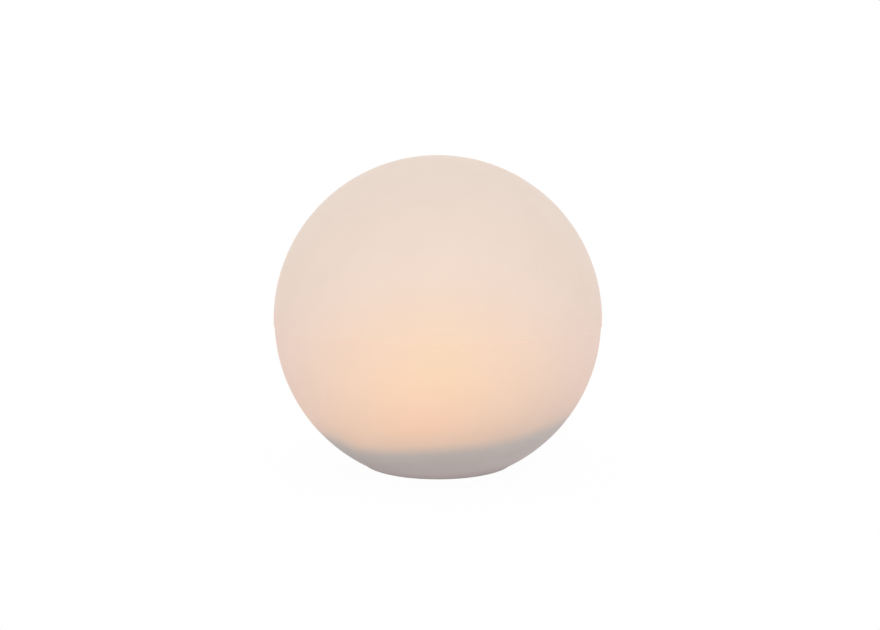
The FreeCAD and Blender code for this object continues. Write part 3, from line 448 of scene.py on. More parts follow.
# A CAD solid's own shape with welded faces and small rounded edges.
def refine(node, material, body, width=0.15, segments=2, angle=38.0, name=None):
    bm = bmesh.new()
    bm.from_mesh(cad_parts[node].data)
    weld(bm, 3e-6)
    bmesh.ops.dissolve_degenerate(bm, edges=bm.edges, dist=1e-6)
    bmesh.ops.dissolve_limit(bm, angle_limit=math.radians(0.6), verts=bm.verts, edges=bm.edges, delimit={"NORMAL"})
    bmesh.ops.recalc_face_normals(bm, faces=bm.faces)
    if width > 0:
        sharp = [e for e in bm.edges if len(e.link_faces) == 2 and e.calc_face_angle(0.0) > math.radians(angle)]
        bmesh.ops.bevel(bm, geom=sharp, offset=width * MM, offset_type="OFFSET", segments=segments, profile=0.5, affect="EDGES", clamp_overlap=True, miter_outer="ARC" if segments > 1 else "SHARP", loop_slide=True)
        weld(bm, 1e-6)
    bmesh.ops.triangulate(bm, faces=[f for f in bm.faces if len(f.verts) > 4])
    o = finish_mesh(name or node + "_shape", bm, material, body, (node,), smooth=28.0)
    even = o.modifiers.new("even_normals", "WEIGHTED_NORMAL")
    even.keep_sharp = True
    return o


# ------------------------------------------------------------------ floor
def studio_floor():
    """A pale floor with an opening under the foot, so the underside gets light and the door has room."""
    bm = bmesh.new()
    radii = (0.0465, 0.054, 0.07, 0.11, 0.18, 0.32, 0.6, 1.2, 2.6, 6.0)
    rings = [[bm.verts.new((r * math.cos(2 * math.pi * i / 96), r * math.sin(2 * math.pi * i / 96), -0.0001)) for i in range(96)] for r in radii]
    for a, b in zip(rings, rings[1:]):
        for i in range(96):
            j = (i + 1) % 96
            bm.faces.new((a[i], b[i], b[j], a[j]))
    me = bpy.data.meshes.new("floor")
    bm.to_mesh(me)
    bm.free()
    floor = bpy.data.objects.new("floor", me)
    scene.collection.objects.link(floor)
    m = bpy.data.materials.new("pale_floor")
    m.use_nodes = True
    t = m.node_tree
    t.nodes.clear()
    out = t.nodes.new("ShaderNodeOutputMaterial")
    ray = t.nodes.new("ShaderNodeLightPath")
    geo = t.nodes.new("ShaderNodeNewGeometry")
    pale = t.nodes.new("ShaderNodeBsdfDiffuse")
    dim = t.nodes.new("ShaderNodeBsdfDiffuse")
    clear = t.nodes.new("ShaderNodeBsdfTransparent")
    pale.inputs["Color"].default_value = (1.0, 1.0, 1.0, 1.0)
    dim.inputs["Color"].default_value = (0.80, 0.79, 0.78, 1.0)
    seen = t.nodes.new("ShaderNodeMixShader")
    seen.inputs[0].default_value = 0.97
    t.links.new(pale.outputs[0], seen.inputs[1])
    t.links.new(clear.outputs[0], seen.inputs[2])
    top = t.nodes.new("ShaderNodeMixShader")
    t.links.new(ray.outputs["Is Camera Ray"], top.inputs[0])
    t.links.new(dim.outputs[0], top.inputs[1])
    t.links.new(seen.outputs[0], top.inputs[2])
    both = t.nodes.new("ShaderNodeMixShader")
    t.links.new(geo.outputs["Backfacing"], both.inputs[0])
    t.links.new(top.outputs[0], both.inputs[1])
    t.links.new(clear.outputs[0], both.inputs[2])
    t.links.new(both.outputs[0], out.inputs[0])
    me.materials.append(m)
    return floor


studio_floor()


# ------------------------------------------------------------------ globe
OPAL = opal()
SCREWS = [(41.8 * math.cos(math.radians(45 + 90 * k)), 41.8 * math.sin(math.radians(45 + 90 * k))) for k in range(4)]


def upper_profile():
    cz = 88.5
    low = math.degrees(math.asin((86.2 - cz) / 100.0))
    start = math.degrees(math.asin((93.1 - cz) / 97.5))
    outer = arc(0, cz, 100.0, 90, low + 0.3, 84)
    outer[0].x = 0.0
    corner = rounded_path([(outer[-1].x, outer[-1].y), (100.0 * math.cos(math.radians(low)), 86.2), (98.7, 86.2), (98.7, 93.1), (97.5 * math.cos(math.radians(start)), 93.1), (97.5 * math.cos(math.radians(start + 0.8)), cz + 97.5 * math.sin(math.radians(start + 0.8)))], [0, 0.14, 0.25, 0.3, 0.3, 0], 5)
    inner = arc(0, cz, 97.5, start + 1.6, 90, 72)
    inner[-1].x = 0.0
    return outer + corner[1:] + inner


def lower_profile():
    cz = 88.5
    ledge = 86.12
    top = math.degrees(math.asin((ledge - cz) / 99.5))
    low = math.degrees(math.asin((0.95 - cz) / 99.5))
    outer = arc(0, cz, 99.5, top - 0.3, low, 60)
    foot = arc(45.9, 1.2, 1.2, -16, -90, 9)
    floor = rounded_path([(44.0, 0.0), (37.3, 0.0), (37.3, 3.2), (97.0 * math.cos(math.asin((3.2 - cz) / 97.0)), 3.2)], [0, 0.35, 0.4, 0], 5)
    a0 = math.degrees(math.asin((4.3 - cz) / 97.0))
    blend = [Vector((44.6, 3.2)), Vector((45.6, 3.25)), Vector((46.6, 3.45)), Vector((47.4, 3.85))]
    inner = arc(0, cz, 97.0, a0, 0, 56)
    rim = rounded_path([(97.0, 90.0), (97.0, 92.2), (98.4, 92.2), (98.4, ledge), (99.5 * math.cos(math.radians(top)), ledge), (outer[0].x, outer[0].y)], [0, 0.3, 0.3, 0.25, 0.14, 0], 5)
    return outer[:-1] + foot + floor[:-1] + blend + inner[1:] + rim[:-1]


def globe():
    bm = bmesh.new()
    lathe(bm, [(p.x, p.y) for p in upper_profile()], 224)
    weld(bm)
    up = finish_mesh("cover_dome", bm, OPAL, "cover", ("globe_upper_shell",), 36)
    bm = bmesh.new()
    lathe(bm, [(p.x, p.y) for p in lower_profile()], 224)
    weld(bm)
    low = finish_mesh("base_bowl", bm, OPAL, "base", (), 36)
    cutters = []
    for n, (x, y) in enumerate(SCREWS):
        bm = bmesh.new()
        lathe(bm, [(0, -1), (3.35, -1), (3.35, -0.05), (3.12, 0.2), (3.1, 0.3), (3.1, 1.85), (2.95, 2.0), (1.9, 2.0), (1.7, 2.2), (1.7, 4.0), (0, 4.0)], 40, at=(x, y))
        cutters.append(loose("sink_%d" % n, bm))
    carve(low, cutters)
    set_sharp(low, 36)
    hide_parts("globe_lower_shell")
    return up, low


globe()


# ------------------------------------------------------------------ other materials
HOUSING = plastic("housing_abs", (0.660, 0.656, 0.640), (0.612, 0.608, 0.592), 0.50, grain=2300.0, depth=0.00005, drift=38.0)
DECK = plastic("deck_abs", (0.740, 0.732, 0.710), (0.690, 0.680, 0.656), 0.34, grain=3200.0, depth=0.000025, drift=30.0, strength=0.3)
DOOR = plastic("door_abs", (0.620, 0.616, 0.602), (0.570, 0.566, 0.552), 0.48, grain=1900.0, depth=0.00006, drift=48.0)
HOLDER = plastic("holder_nylon", (0.800, 0.792, 0.760), (0.740, 0.730, 0.696), 0.42, grain=2800.0, depth=0.00003, drift=90.0)
SWITCH = plastic("switch_phenolic", (0.052, 0.052, 0.056), (0.032, 0.032, 0.036), 0.42, grain=3000.0, depth=0.00004, drift=160.0)
SLIDER = plastic("slider_nylon", (0.075, 0.075, 0.080), (0.048, 0.048, 0.052), 0.36, grain=2600.0, depth=0.00004, drift=240.0)
CHIP = plastic("chip_epoxy", (0.036, 0.036, 0.040), (0.024, 0.024, 0.027), 0.55, grain=5200.0, depth=0.00003, drift=400.0)
CAP = plastic("capacitor_ceramic", (0.62, 0.45, 0.28), (0.52, 0.36, 0.21), 0.50, grain=6000.0, depth=0.00002, drift=500.0)
STEEL = metal("screw_steel", (0.640, 0.635, 0.625), (0.470, 0.455, 0.440), 0.26, along=(1.0, 1.0, 0.08), scale=2600.0)
BRASS = metal("insert_brass", (0.780, 0.620, 0.320), (0.580, 0.430, 0.200), 0.30, along=(1.0, 1.0, 0.25), scale=2400.0)
TINNED = metal("tinned_wire", (0.740, 0.740, 0.750), (0.560, 0.560, 0.570), 0.24, along=(1.0, 1.0, 0.05), scale=3400.0)
CRYSTAL = metal("crystal_can", (0.740, 0.740, 0.750), (0.600, 0.600, 0.610), 0.20, along=(0.03, 1.0, 1.0), scale=3000.0)
NICKEL = metal("contact_nickel", (0.720, 0.700, 0.660), (0.560, 0.530, 0.480), 0.24, along=(1.0, 1.0, 0.03), scale=2200.0, pits=0.5)


def silicone():
    k = Mat("seal_silicone", ior=1.43, spec=0.45)
    slow = k.noise(60.0, 4.0, 0.55)
    fine = k.noise(1800.0, 3.0, 0.6)
    dust = k.ramp(k.noise(950.0, 3.0, 0.7), 0.58, 0.72)
    col = k.mix(k.ramp(slow, 0.35, 0.65), (0.80, 0.79, 0.755), (0.735, 0.722, 0.685))
    k.set("color", k.mix(k.mul(dust, 0.22), col, (0.52, 0.50, 0.46)))
    k.set("rough", k.ramp(fine, 0.3, 0.7, 0.50, 0.66))
    k.set("normal", k.bump(fine, 0.4, 0.00004, k.bump(slow, 0.2, 0.0004)))
    return k.m


def foam():
    k = Mat("gasket_foam", ior=1.45, spec=0.30)
    cell = k.cells(2600.0)
    big = k.cells(1200.0)
    pore = k.ramp(k.math("MINIMUM", cell, k.mul(big, 0.8)), 0.05, 0.42)
    slow = k.noise(90.0, 3.0, 0.5)
    # the pores are painted darker: painted shade in the hollows of the foam
    col = k.mix(pore, (0.030, 0.030, 0.031), (0.112, 0.110, 0.108))
    k.set("color", k.mix(k.ramp(slow, 0.4, 0.7, 0.0, 0.35), col, (0.070, 0.068, 0.066)))
    k.set("rough", k.ramp(pore, 0.0, 1.0, 0.95, 0.78))
    k.set("normal", k.bump(pore, 0.7, 0.00012))
    return k.m


def lens():
    """Clear epoxy over a warm die: brightest on top and in the middle of the barrel."""
    k = Mat("led_epoxy", ior=1.54, coat=1.0, coat_rough=0.04, coat_ior=1.54)
    x, y, z = k.xyz()
    r = k.length(k.join(x, y, 0.0))
    up = k.ramp(z, 0.0272, 0.0352)
    core = k.ramp(r, 0.0026, 0.0)
    swirl = k.noise(900.0, 3.0, 0.5)
    heat = k.math("MINIMUM", k.add(k.mul(up, 0.75), k.mul(core, 0.45)), 1.0)
    heat = k.add(heat, k.mul(k.add(swirl, -0.5), 0.10))
    k.set("emit_color", k.mix(heat, (0.95, 0.42, 0.10), (1.0, 0.78, 0.46)))
    k.set("emit", 3.2)
    k.set("color", k.mix(swirl, (0.95, 0.80, 0.50), (1.0, 0.90, 0.66)))
    k.set("rough", k.ramp(swirl, 0.3, 0.7, 0.10, 0.20))
    k.set("normal", k.bump(swirl, 0.05, 0.00004))
    return k.m


def laminate():
    k = Mat("board_laminate", ior=1.55, coat=0.35, coat_rough=0.22)
    x, y, z = k.xyz()
    weave = k.mul(k.wave(560.0, direction="X"), k.wave(560.0, direction="Y"))
    blocks = k.cells(170.0, feature="DISTANCE_TO_EDGE", random=0.85)
    track = k.ramp(blocks, 0.045, 0.060, 1.0, 0.0)
    slow = k.noise(70.0, 3.0, 0.5)
    col = k.mix(k.ramp(slow, 0.35, 0.65), (0.060, 0.270, 0.140), (0.045, 0.215, 0.110))
    col = k.mix(k.mul(weave, 0.14), col, (0.16, 0.40, 0.24))
    col = k.mix(k.mul(track, 0.55), col, (0.10, 0.40, 0.20))
    # white line round the board's edge, and the cut edge's bare fibre
    ax, ay = k.math("ABSOLUTE", x), k.math("ABSOLUTE", y)
    frame_line = k.math("MAXIMUM", k.ramp(k.math("ABSOLUTE", k.add(ax, -0.0205)), 0.00016, 0.00010), k.ramp(k.math("ABSOLUTE", k.add(ay, -0.0125)), 0.00016, 0.00010))
    inside = k.mul(k.ramp(ax, 0.02062, 0.02058), k.ramp(ay, 0.01262, 0.01258))
    col = k.mix(k.mul(k.mul(frame_line, inside), 0.85), col, (0.80, 0.82, 0.78))
    bare = k.math("MAXIMUM", k.ramp(ax, 0.02188, 0.02198), k.ramp(ay, 0.01388, 0.01398))
    k.set("color", k.mix(bare, col, (0.50, 0.47, 0.26)))
    k.set("rough", k.ramp(weave, 0.0, 1.0, 0.34, 0.48))
    k.set("normal", k.bump(k.add(track, k.mul(weave, 0.25)), 0.35, 0.00004))
    return k.m


def resistor():
    k = Mat("resistor_film", ior=1.5, coat=0.5, coat_rough=0.15)
    x, y, z = k.xyz()
    t = k.math("DIVIDE", k.add(x, -0.0062), 0.004)
    noise = k.noise(1500.0, 2.0, 0.5)
    col = k.mix(k.ramp(noise, 0.3, 0.7), (0.72, 0.60, 0.40), (0.66, 0.54, 0.35))
    for at, c in ((0.18, (0.42, 0.16, 0.06)), (0.38, (0.05, 0.05, 0.05)), (0.58, (0.62, 0.06, 0.04)), (0.84, (0.60, 0.42, 0.10))):
        band = k.ramp(k.math("ABSOLUTE", k.add(t, -at)), 0.062, 0.050)
        col = k.mix(band, col, c)
    ends = k.math("MAXIMUM", k.ramp(t, -0.01, -0.03), k.ramp(t, 1.01, 1.03))
    k.set("color", k.mix(ends, col, (0.62, 0.62, 0.63)))
    k.set("metal", ends)
    k.set("rough", k.ramp(noise, 0.3, 0.7, 0.26, 0.36))
    k.set("normal", k.bump(noise, 0.15, 0.00004))
    return k.m


def wire(name, color, dark):
    k = Mat(name, ior=1.5, coat=0.15, coat_rough=0.25)
    slow = k.noise(260.0, 3.0, 0.5)
    fine = k.noise(2600.0, 2.0, 0.6)
    k.set("color", k.mix(k.ramp(slow, 0.35, 0.65), color, dark))
    k.set("rough", k.ramp(fine, 0.3, 0.7, 0.32, 0.46))
    k.set("normal", k.bump(fine, 0.2, 0.00003, k.bump(slow, 0.25, 0.0002)))
    return k.m


def jacket(name, sign, y0):
    """A cell's printed sleeve: two plain colours, a pale ring and a generic plus and minus. sign is where the nub points."""
    k = Mat(name, ior=1.5, coat=0.6, coat_rough=0.10)
    x, y, z = k.xyz()
    t = k.mul(x, sign)
    noise = k.noise(700.0, 3.0, 0.55)
    flake = k.cells(5200.0, out=0)
    body = k.mix(k.ramp(noise, 0.3, 0.7), (0.105, 0.300, 0.205), (0.085, 0.262, 0.178))
    body = k.mix(k.ramp(flake, 0.02, 0.12, 0.16, 0.0), body, (0.30, 0.50, 0.40))
    cap = k.mix(k.ramp(noise, 0.3, 0.7), (0.660, 0.655, 0.630), (0.600, 0.595, 0.572))
    col = k.mix(k.ramp(t, 0.01195, 0.01205), body, cap)
    col = k.mix(k.ramp(k.math("ABSOLUTE", k.add(t, -0.0112)), 0.00045, 0.00038), col, (0.86, 0.86, 0.82))
    # generic marks, on the side that faces the door
    u = k.add(y, -y0)
    low = k.ramp(z, 0.0060, 0.0050)

    def bar(cx, half_x, half_y):
        a = k.ramp(k.math("ABSOLUTE", k.add(t, -cx)), half_x + 0.00006, half_x - 0.00006)
        b = k.ramp(k.math("ABSOLUTE", u), half_y + 0.00006, half_y - 0.00006)
        return k.mul(k.mul(a, b), low)

    plus = k.math("MAXIMUM", bar(0.0172, 0.0020, 0.00042), bar(0.0172, 0.00042, 0.0020))
    minus = bar(-0.0160, 0.00042, 0.0020)
    col = k.mix(plus, col, (0.10, 0.12, 0.11))
    col = k.mix(minus, col, (0.86, 0.86, 0.82))
    # the sleeve's overlap seam
    lap = k.ramp(k.math("ABSOLUTE", k.add(u, 0.0046)), 0.00010, 0.00004)
    col = k.mix(k.mul(k.mul(lap, low), 0.5), col, (0.05, 0.10, 0.08))
    k.set("color", col)
    k.set("rough", k.ramp(noise, 0.3, 0.7, 0.24, 0.36))
    k.set("normal", k.bump(k.add(noise, k.mul(lap, 0.8)), 0.18, 0.00004))
    return k.m


SILICONE, FOAM, LENS, LAMINATE, RESISTOR = silicone(), foam(), lens(), laminate(), resistor()
RED = wire("wire_red", (0.60, 0.045, 0.030), (0.50, 0.032, 0.022))
BLACK = wire("wire_black", (0.034, 0.034, 0.036), (0.022, 0.022, 0.024))
GREY = wire("wire_grey", (0.55, 0.56, 0.58), (0.48, 0.49, 0.51))


# ------------------------------------------------------------------ ring seals
def ring_seals():
    # seam seal: a soft lip section on the spigot's rim
    bm = bmesh.new()
    prof = rounded_path([(97.32, 92.22), (98.18, 92.22), (98.18, 92.78), (97.98, 92.98), (97.52, 92.98), (97.32, 92.78)], [0.12, 0.12, 0.1, 0.1, 0.1, 0.1], 4)
    lathe(bm, [(p.x, p.y) for p in prof], 224)
    finish_mesh("seam_seal_ring", bm, SILICONE, "base", ("seam_seal",), 50)
    # foam gasket with its screw holes; its outer edge swells where the flange presses it
    bm = bmesh.new()
    prof = [(38.3, 3.22), (45.12, 3.22), (45.28, 3.40), (45.32, 3.60), (45.28, 3.80), (45.12, 3.98), (38.3, 3.98), (38.12, 3.80), (38.08, 3.60), (38.12, 3.40)]
    lathe(bm, prof, 160)
    o = finish_mesh("gasket_ring", bm, FOAM, "base", (), 50)
    cut = []
    for n, (x, y) in enumerate(SCREWS):
        b = bmesh.new()
        lathe(b, [(0, 2), (1.85, 2), (1.85, 5), (0, 5)], 28, at=(x, y))
        cut.append(loose("gasket_cut_%d" % n, b))
    carve(o, cut)
    set_sharp(o, 40)
    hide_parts("housing_gasket")


ring_seals()


# ------------------------------------------------------------------ screws
def screw_mesh(bm, x, y, head_r, shank_r, low, high, end, down):
    """Pan head with a domed top, a tapered cross recess cut later, and a threaded shank. down: the head is on top."""
    s = -1.0 if down else 1.0           # s: way from the head's face to the tip
    face, under = (high, low) if down else (low, high)
    tall = abs(under - face)
    dome = 0.30 * tall
    pts = [(0.0, face)]
    for i in range(1, 9):
        t = i / 8
        pts.append((head_r * 0.90 * t, face + s * dome * (t ** 3) * 0.6))
    for i in range(1, 6):
        a = math.pi / 2 * i / 5
        pts.append((head_r * (0.90 + 0.10 * math.sin(a)), face + s * (dome * 0.6 + tall * 0.30 * (1 - math.cos(a)))))
    pts += [(head_r, under - s * 0.08), (head_r - 0.08, under), (shank_r + 0.12, under), (shank_r * 0.86, under + s * 0.15)]
    # thread: closed ridges with a fine pitch
    pitch = max(0.55, shank_r * 0.55)
    h = under + s * 0.5
    while abs(end - h) > pitch * 1.4:
        pts += [(shank_r * 0.84, h), (shank_r * 0.84, h + s * pitch * 0.18), (shank_r, h + s * pitch * 0.48), (shank_r, h + s * pitch * 0.60)]
        h += s * pitch
    pts += [(shank_r * 0.80, h), (shank_r * 0.55, end - s * 0.25), (shank_r * 0.20, end), (0.0, end)]
    lathe(bm, pts, 36, closed=False, at=(x, y))


def screws(name, spots, head_r, shank_r, low, high, end, down, body, node, seed):
    rnd = random.Random(seed)
    made = []
    for n, (x, y) in enumerate(spots):
        bm = bmesh.new()
        screw_mesh(bm, x, y, head_r, shank_r, low, high, end, down)
        one = loose("%s_%d" % (name, n), bm)
        cuts = []
        turn = rnd.uniform(0, math.pi / 2)
        face, s = (high, -1.0) if down else (low, 1.0)
        for k in range(2):
            b = bmesh.new()
            # one bar of the cross at a time keeps the cut clean
            w, deep = head_r * 0.15, 0.34 * abs(high - low) + 0.12
            a = turn + k * math.pi / 2
            c, d = Vector((math.cos(a), math.sin(a), 0)), Vector((-math.sin(a), math.cos(a), 0))
            base = Vector((x, y, 0))
            rings = []
            for h, length, width in ((face - s * 0.4, head_r * 0.70, w * 1.2), (face + s * deep * 0.3, head_r * 0.60, w), (face + s * deep, head_r * 0.30, w * 0.75)):
                rings.append([b.verts.new((base + c * (length * i) + d * (width * j) + Vector((0, 0, h))) * MM) for i, j in ((-1, -1), (1, -1), (1, 1), (-1, 1))])
            for a_, b_ in zip(rings, rings[1:]):
                for i in range(4):
                    j = (i + 1) % 4
                    b.faces.new((a_[i], a_[j], b_[j], b_[i]))
            b.faces.new(rings[0])
            b.faces.new(rings[-1])
            cuts.append(loose("cross_%d" % k, b))
        carve(one, cuts)
        made.append(one)
    bm = bmesh.new()
    for o in made:
        bm.from_mesh(o.data)
        bpy.data.objects.remove(o)
    return finish_mesh(name, bm, STEEL, body, (node,), 34)


screws("housing_screw_set", SCREWS, 2.8, 1.45, 0.25, 2.0, 12.0, False, "base", "housing_screws", 3)
DECK_SPOTS = [(34.0 * math.cos(math.radians(a)), 34.0 * math.sin(math.radians(a))) for a in (40.0, 140.0, 270.0)]
screws("deck_screw_set", DECK_SPOTS, 2.2, 1.0, 27.1, 28.4, 21.6, True, "base", "deck_screws", 5)
screws("board_screw_set", [(18.0, -10.0), (-18.0, 10.0)], 1.9, 0.8, 23.4, 24.6, 19.0, True, "base", "board_screws", 8)
screws("door_screw_turn", [(0.0, -29.6)], 2.7, 1.25, 0.8, 2.55, 7.6, False, "door", "door_screw", 11)


# ------------------------------------------------------------------ lid, holder, diode
def deck():
    bm = bmesh.new()
    prof = rounded_path([(4.2, 26.2), (39.0, 26.2), (39.0, 28.0), (4.2, 28.0)], [0.15, 0.2, 0.5, 0.3], 5)
    pts = []
    for p in prof:
        pts.append((p.x, p.y))
    # a shallow ring groove that marks the wall of the chamber below
    top = [i for i, p in enumerate(pts) if abs(p[1] - 28.0) < 1e-6]
    at = top[0]
    groove = [(36.8, 28.0), (36.4, 28.0), (36.2, 27.93), (36.0, 27.86), (35.6, 27.86), (35.4, 27.93), (35.2, 28.0), (34.8, 28.0), (4.9, 28.0)]
    pts = pts[: at + 1] + groove + pts[at + 1 :]
    lathe(bm, pts, 192)
    o = finish_mesh("deck_disc", bm, DECK, "base", (), 40)
    cut = []
    for n, (x, y) in enumerate(DECK_SPOTS):
        b = bmesh.new()
        lathe(b, [(0, 25.5), (1.35, 25.5), (1.35, 26.9), (1.5, 27.1), (2.42, 27.1), (2.5, 27.2), (2.5, 27.75), (2.78, 28.02), (2.78, 29.0), (0, 29.0)], 40, at=(x, y))
        cut.append(loose("deck_cut_%d" % n, b))
    carve(o, cut)
    set_sharp(o, 18.6)
    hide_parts("top_deck")


def holder():
    bm = bmesh.new()
    prof = rounded_path(
        [(3.1, 26.4), (4.1, 26.4), (4.1, 28.0), (6.5, 28.0), (6.5, 28.85), (6.2, 29.0), (4.35, 29.0), (3.95, 31.5), (2.6, 31.5), (2.6, 28.2), (3.1, 28.2)],
        [0.1, 0.1, 0.05, 0.05, 0.15, 0.15, 0.35, 0.25, 0.25, 0.05, 0.05], 5)
    lathe(bm, [(p.x, p.y) for p in prof], 96)
    o = finish_mesh("diode_holder", bm, HOLDER, "base", (), 36)
    # four finger notches in the collar's rim
    cut = []
    for n in range(4):
        a = math.radians(45 + 90 * n)
        b = bmesh.new()
        lathe(b, [(0, 28.6), (0.55, 28.6), (0.62, 28.7), (0.62, 29.6), (0, 29.6)], 20, at=(6.5 * math.cos(a), 6.5 * math.sin(a)))
        cut.append(loose("notch_%d" % n, b))
    carve(o, cut)
    set_sharp(o, 36)
    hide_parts("led_holder")


def diode():
    bm = bmesh.new()
    pts = [(0.0, 27.22), (2.7, 27.22), (2.84, 27.27), (2.9, 27.38), (2.9, 28.02), (2.84, 28.13), (2.72, 28.18), (2.56, 28.2), (2.5, 28.32)]
    pts += [(2.5, 29.2), (2.5, 31.0), (2.5, 33.0)]
    pts += [(2.5 * math.cos(math.radians(a)), 33.0 + 2.5 * math.sin(math.radians(a))) for a in range(6, 90, 6)]
    pts += [(0.0, 35.5)]
    lathe(bm, pts, 64, closed=False)
    weld(bm)
    finish_mesh("diode_lens", bm, LENS, "base", ("led",), 50)


deck()
holder()
diode()


# ------------------------------------------------------------------ tubes: wires and springs
def tube(bm, pts, r, sides=12):
    """A closed round tube along points in millimetres, with domed ends."""
    P = [Vector(p) for p in pts]
    n = len(P)
    tang = []
    for i in range(n):
        t = P[min(i + 1, n - 1)] - P[max(i - 1, 0)]
        tang.append(t.normalized())
    ref = Vector((0, 0, 1)) if abs(tang[0].z) < 0.9 else Vector((1, 0, 0))
    u = tang[0].cross(ref).normalized()
    rings = []

    def ring(c, rr, t, u):
        v = t.cross(u).normalized()
        return [bm.verts.new((c + u * (rr * math.cos(2 * math.pi * k / sides)) + v * (rr * math.sin(2 * math.pi * k / sides))) * MM) for k in range(sides)]

    for i in range(n):
        if i:
            u = (u - tang[i] * u.dot(tang[i])).normalized()
        if i == 0:
            rings.append(ring(P[0] - tang[0] * 0.0, r * 0.62, tang[0], u))
            P0 = P[0] + tang[0] * (r * 0.35)
            rings.append(ring(P0, r, tang[0], u))
            continue
        if i == n - 1:
            rings.append(ring(P[-1] - tang[-1] * (r * 0.35), r, tang[-1], u))
            rings.append(ring(P[-1], r * 0.62, tang[-1], u))
            continue
        rings.append(ring(P[i], r, tang[i], u))
    for a, b in zip(rings, rings[1:]):
        for k in range(sides):
            j = (k + 1) % sides
            bm.faces.new((a[k], a[j], b[j], b[k]))
    bm.faces.new(rings[0])
    bm.faces.new(rings[-1])


def run(points, bend, step=6):
    """Straight runs joined by arcs."""
    pts = [Vector(p) for p in points]
    out = [pts[0]]
    for i in range(1, len(pts) - 1):
        a, b = (pts[i - 1] - pts[i]).normalized(), (pts[i + 1] - pts[i]).normalized()
        half = a.angle(b) / 2
        back_by = bend / math.tan(half)
        m = (a + b).normalized()
        c = pts[i] + m * (bend / math.sin(half))
        s, e = pts[i] + a * back_by - c, pts[i] + b * back_by - c
        full = s.angle(e)
        for k in range(step + 1):
            t = k / step
            out.append(c + s * (math.sin((1 - t) * full) / math.sin(full)) + e * (math.sin(t * full) / math.sin(full)))
    out.append(pts[-1])
    fine = [out[0]]
    for p in out[1:]:
        d = (p - fine[-1]).length
        k = max(1, int(d / 1.6))
        q = fine[-1]
        for j in range(1, k + 1):
            fine.append(q + (p - q) * (j / k))
    return fine


def wires():
    for name, node, material, slot, paths in (
        ("wire_positive", "positive_wire", RED, "wire_red", [[(28.2, 14.5, 21.82), (28.2, 14.5, 24.9), (19.5, 10.5, 24.9), (19.5, 10.5, 23.42)]]),
        ("wire_negative", "negative_wire", BLACK, "wire_black", [[(-28.2, -14.5, 21.82), (-28.2, -14.5, 24.9), (-19.5, -10.5, 24.9), (-19.5, -10.5, 23.42)]]),
        ("wires_switch", "switch_wires", GREY, "wire_grey", [[(x, 31.7, 13.44), (x, 31.7, 24.9), (e, 12.2, 24.9), (e, 12.2, 23.42)] for x, e in ((-3.0, -3.6), (0.0, 0.4), (3.0, 4.4))]),
    ):
        bm = bmesh.new()
        for p in paths:
            tube(bm, run(p, 0.9), 0.58, 14)
        finish_mesh(name, bm, material, "base", (node,), 50)


def springs():
    """Conical springs with a flat dead coil at the wide end and a closed small coil on the cell."""
    bm = bmesh.new()
    for y, side in ((-14.5, -1), (0.0, 1), (14.5, -1)):
        pts, turns, rise = [], 3.6, 4.97
        n = int(turns * 40)
        for i in range(n + 1):
            t = i / n
            a = 2 * math.pi * turns * t * side
            k = min(1.0, max(0.0, (t * turns - 0.55) / (turns - 1.15)))
            k = k * k * (3 - 2 * k) * 0.25 + k * 0.75
            r = 4.4 + (2.8 - 4.4) * k
            x = (28.0 - 0.39) - rise * k
            if t * turns < 0.55:
                x = 28.0 - 0.39
            pts.append((side * x, y + r * math.cos(a), 10.9 + r * math.sin(a)))
        tube(bm, pts, 0.35, 12)
    finish_mesh("cell_springs", bm, NICKEL, "base", ("contact_springs",), 50)


wires()
springs()


# ------------------------------------------------------------------ cells
def cell(name, node, y, sign):
    x0, x1 = -22.25, 26.75
    bm = bmesh.new()
    # sleeve: shrunk over both edges, with a faint waist where the sleeve is heat-set
    path = [(5.85, x0 + 0.10), (6.35, x0 + 0.02), (6.75, x0 + 0.07), (6.98, x0 + 0.22), (7.08, x0 + 0.50), (7.10, x0 + 0.95), (7.04, x0 + 1.6), (7.09, x0 + 2.2)]
    path += [(7.10, x0 + 4 + 4.1 * i) for i in range(10)]
    path += [(7.09, x1 - 2.6), (6.97, x1 - 1.9), (7.06, x1 - 1.25), (7.10, x1 - 0.8), (7.05, x1 - 0.42), (6.86, x1 - 0.14), (6.45, x1 - 0.03), (5.70, x1 - 0.10)]
    inner = [(5.70, x1 - 0.45), (6.6, x1 - 0.9), (6.6, x0 + 0.9), (5.85, x0 + 0.45)]
    lathe(bm, [(r, h * sign) for r, h in path + inner], 72, at=(y, 10.9), axis="X")
    finish_mesh(name + "_sleeve", bm, jacket("cell_jacket_" + name, sign, y * MM), "base", (node,), 40)
    bm = bmesh.new()
    nub = [(0.0, 27.93), (1.6, 27.95), (2.2, 27.90), (2.48, 27.74), (2.58, 27.5), (2.6, 26.9), (2.72, 26.62), (3.05, 26.50), (4.0, 26.46), (5.5, 26.42), (5.62, 26.3), (5.62, 25.9), (0.0, 25.9)]
    lathe(bm, [(r, h * sign) for r, h in nub], 56, at=(y, 10.9), axis="X")
    weld(bm)
    foot = [(0.0, x0 + 0.04), (3.6, x0 + 0.02), (4.2, x0 + 0.10), (4.9, x0 + 0.12), (5.3, x0 + 0.03), (5.78, x0 + 0.06), (5.82, x0 + 0.3), (5.82, x0 + 0.7), (0.0, x0 + 0.7)]
    lathe(bm, [(r, h * sign) for r, h in foot], 56, at=(y, 10.9), axis="X")
    weld(bm)
    finish_mesh(name + "_caps", bm, NICKEL, "base", (), 34)


cell("cell_front", "battery_cell_front", -14.5, 1)
cell("cell_middle", "battery_cell_middle", 0.0, -1)
cell("cell_back", "battery_cell_back", 14.5, 1)


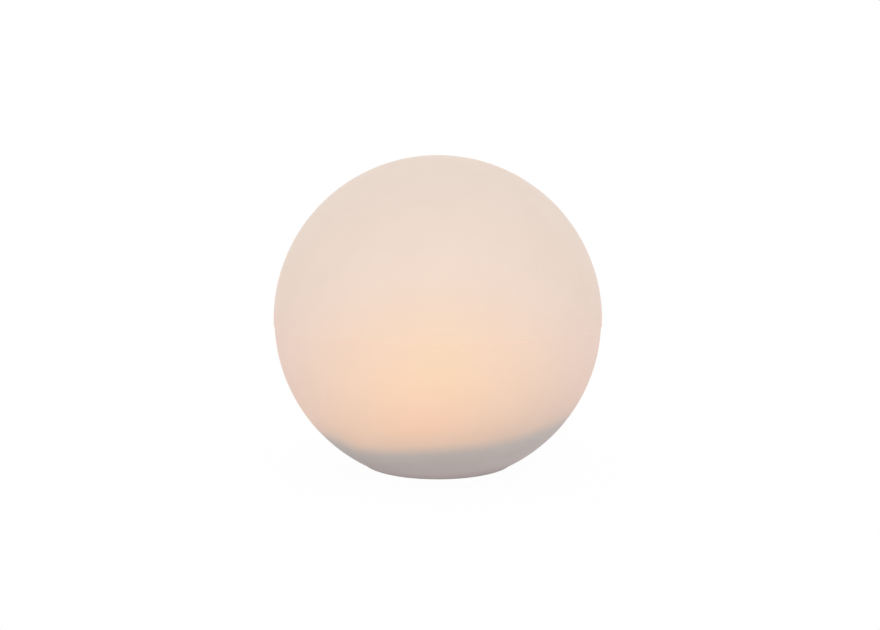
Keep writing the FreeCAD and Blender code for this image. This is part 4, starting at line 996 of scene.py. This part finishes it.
# ------------------------------------------------------------------ hinge pin, insert
def pin():
    bm = bmesh.new()
    prof = [(0.0, -22.0), (0.55, -22.0), (0.72, -21.85), (0.75, -21.6)] + [(0.75, -21.0 + 2.1 * i) for i in range(21)] + [(0.75, 21.6), (0.72, 21.85), (0.55, 22.0), (0.0, 22.0)]
    lathe(bm, prof, 28, closed=False, at=(25.6, 2.3), axis="X")
    weld(bm)
    finish_mesh("hinge_pin", bm, STEEL, "base", ("door_hinge_pin",), 34)


def insert():
    """Knurled insert: a groove round its middle and fine teeth."""
    bm = bmesh.new()
    teeth, rows = 36, [(4.72, 0.10), (4.9, 0.0), (6.6, 0.0), (6.75, 0.22), (7.65, 0.22), (7.8, 0.0), (9.5, 0.0), (9.68, 0.10)]
    rings = []
    for h, back_by in rows:
        ring = []
        for i in range(teeth * 2):
            a = math.pi * i / teeth
            r = 2.3 - back_by - (0.09 if i % 2 and back_by == 0.0 else 0.0)
            ring.append(bm.verts.new((r * math.cos(a) * MM, (-29.6 + r * math.sin(a)) * MM, h * MM)))
        rings.append(ring)
    for h in (9.68, 9.5, 4.9, 4.72):
        r = 1.75 if h in (9.68, 4.72) else 1.65
        rings.append([bm.verts.new((r * math.cos(math.pi * i / teeth) * MM, (-29.6 + r * math.sin(math.pi * i / teeth)) * MM, h * MM)) for i in range(teeth * 2)])
    for a, b in zip(rings, rings[1:] + rings[:1]):
        for i in range(teeth * 2):
            j = (i + 1) % (teeth * 2)
            bm.faces.new((a[i], a[j], b[j], b[i]))
    finish_mesh("lug_insert", bm, BRASS, "base", ("door_insert",), 30)


pin()
insert()

# ------------------------------------------------------------------ pieces on the CAD's own shape
refine("battery_housing", HOUSING, "base", 0.22, 2)
refine("battery_door", DOOR, "door", 0.22, 2)
refine("door_gasket", FOAM, "door", 0.16, 2)
refine("switch_body", SWITCH, "base", 0.2, 2)
refine("switch_slider", SLIDER, "slider", 0.14, 2)
refine("switch_terminals", TINNED, "base", 0.08, 2)
refine("contact_plates", NICKEL, "base", 0.10, 2)
refine("circuit_board", LAMINATE, "base", 0.08, 1)
refine("timer_chip", CHIP, "base", 0.12, 2)
refine("chip_legs", TINNED, "base", 0.05, 1)
refine("timing_crystal", CRYSTAL, "base", 0.12, 2)
refine("capacitors", CAP, "base", 0.12, 2)
refine("resistors", RESISTOR, "base", 0.10, 2)
refine("led_leads", TINNED, "base", 0.06, 1)

# the diode's own light, inside the globe
glow_data = bpy.data.lights.new("diode_glow", "POINT")
glow_data.energy = 0.032
glow_data.color = (1.0, 0.62, 0.30)
glow_data.shadow_soft_size = 0.004
glow = bpy.data.objects.new("diode_glow", glow_data)
glow.location = (0.0, 0.0, 0.052)
scene.collection.objects.link(glow)
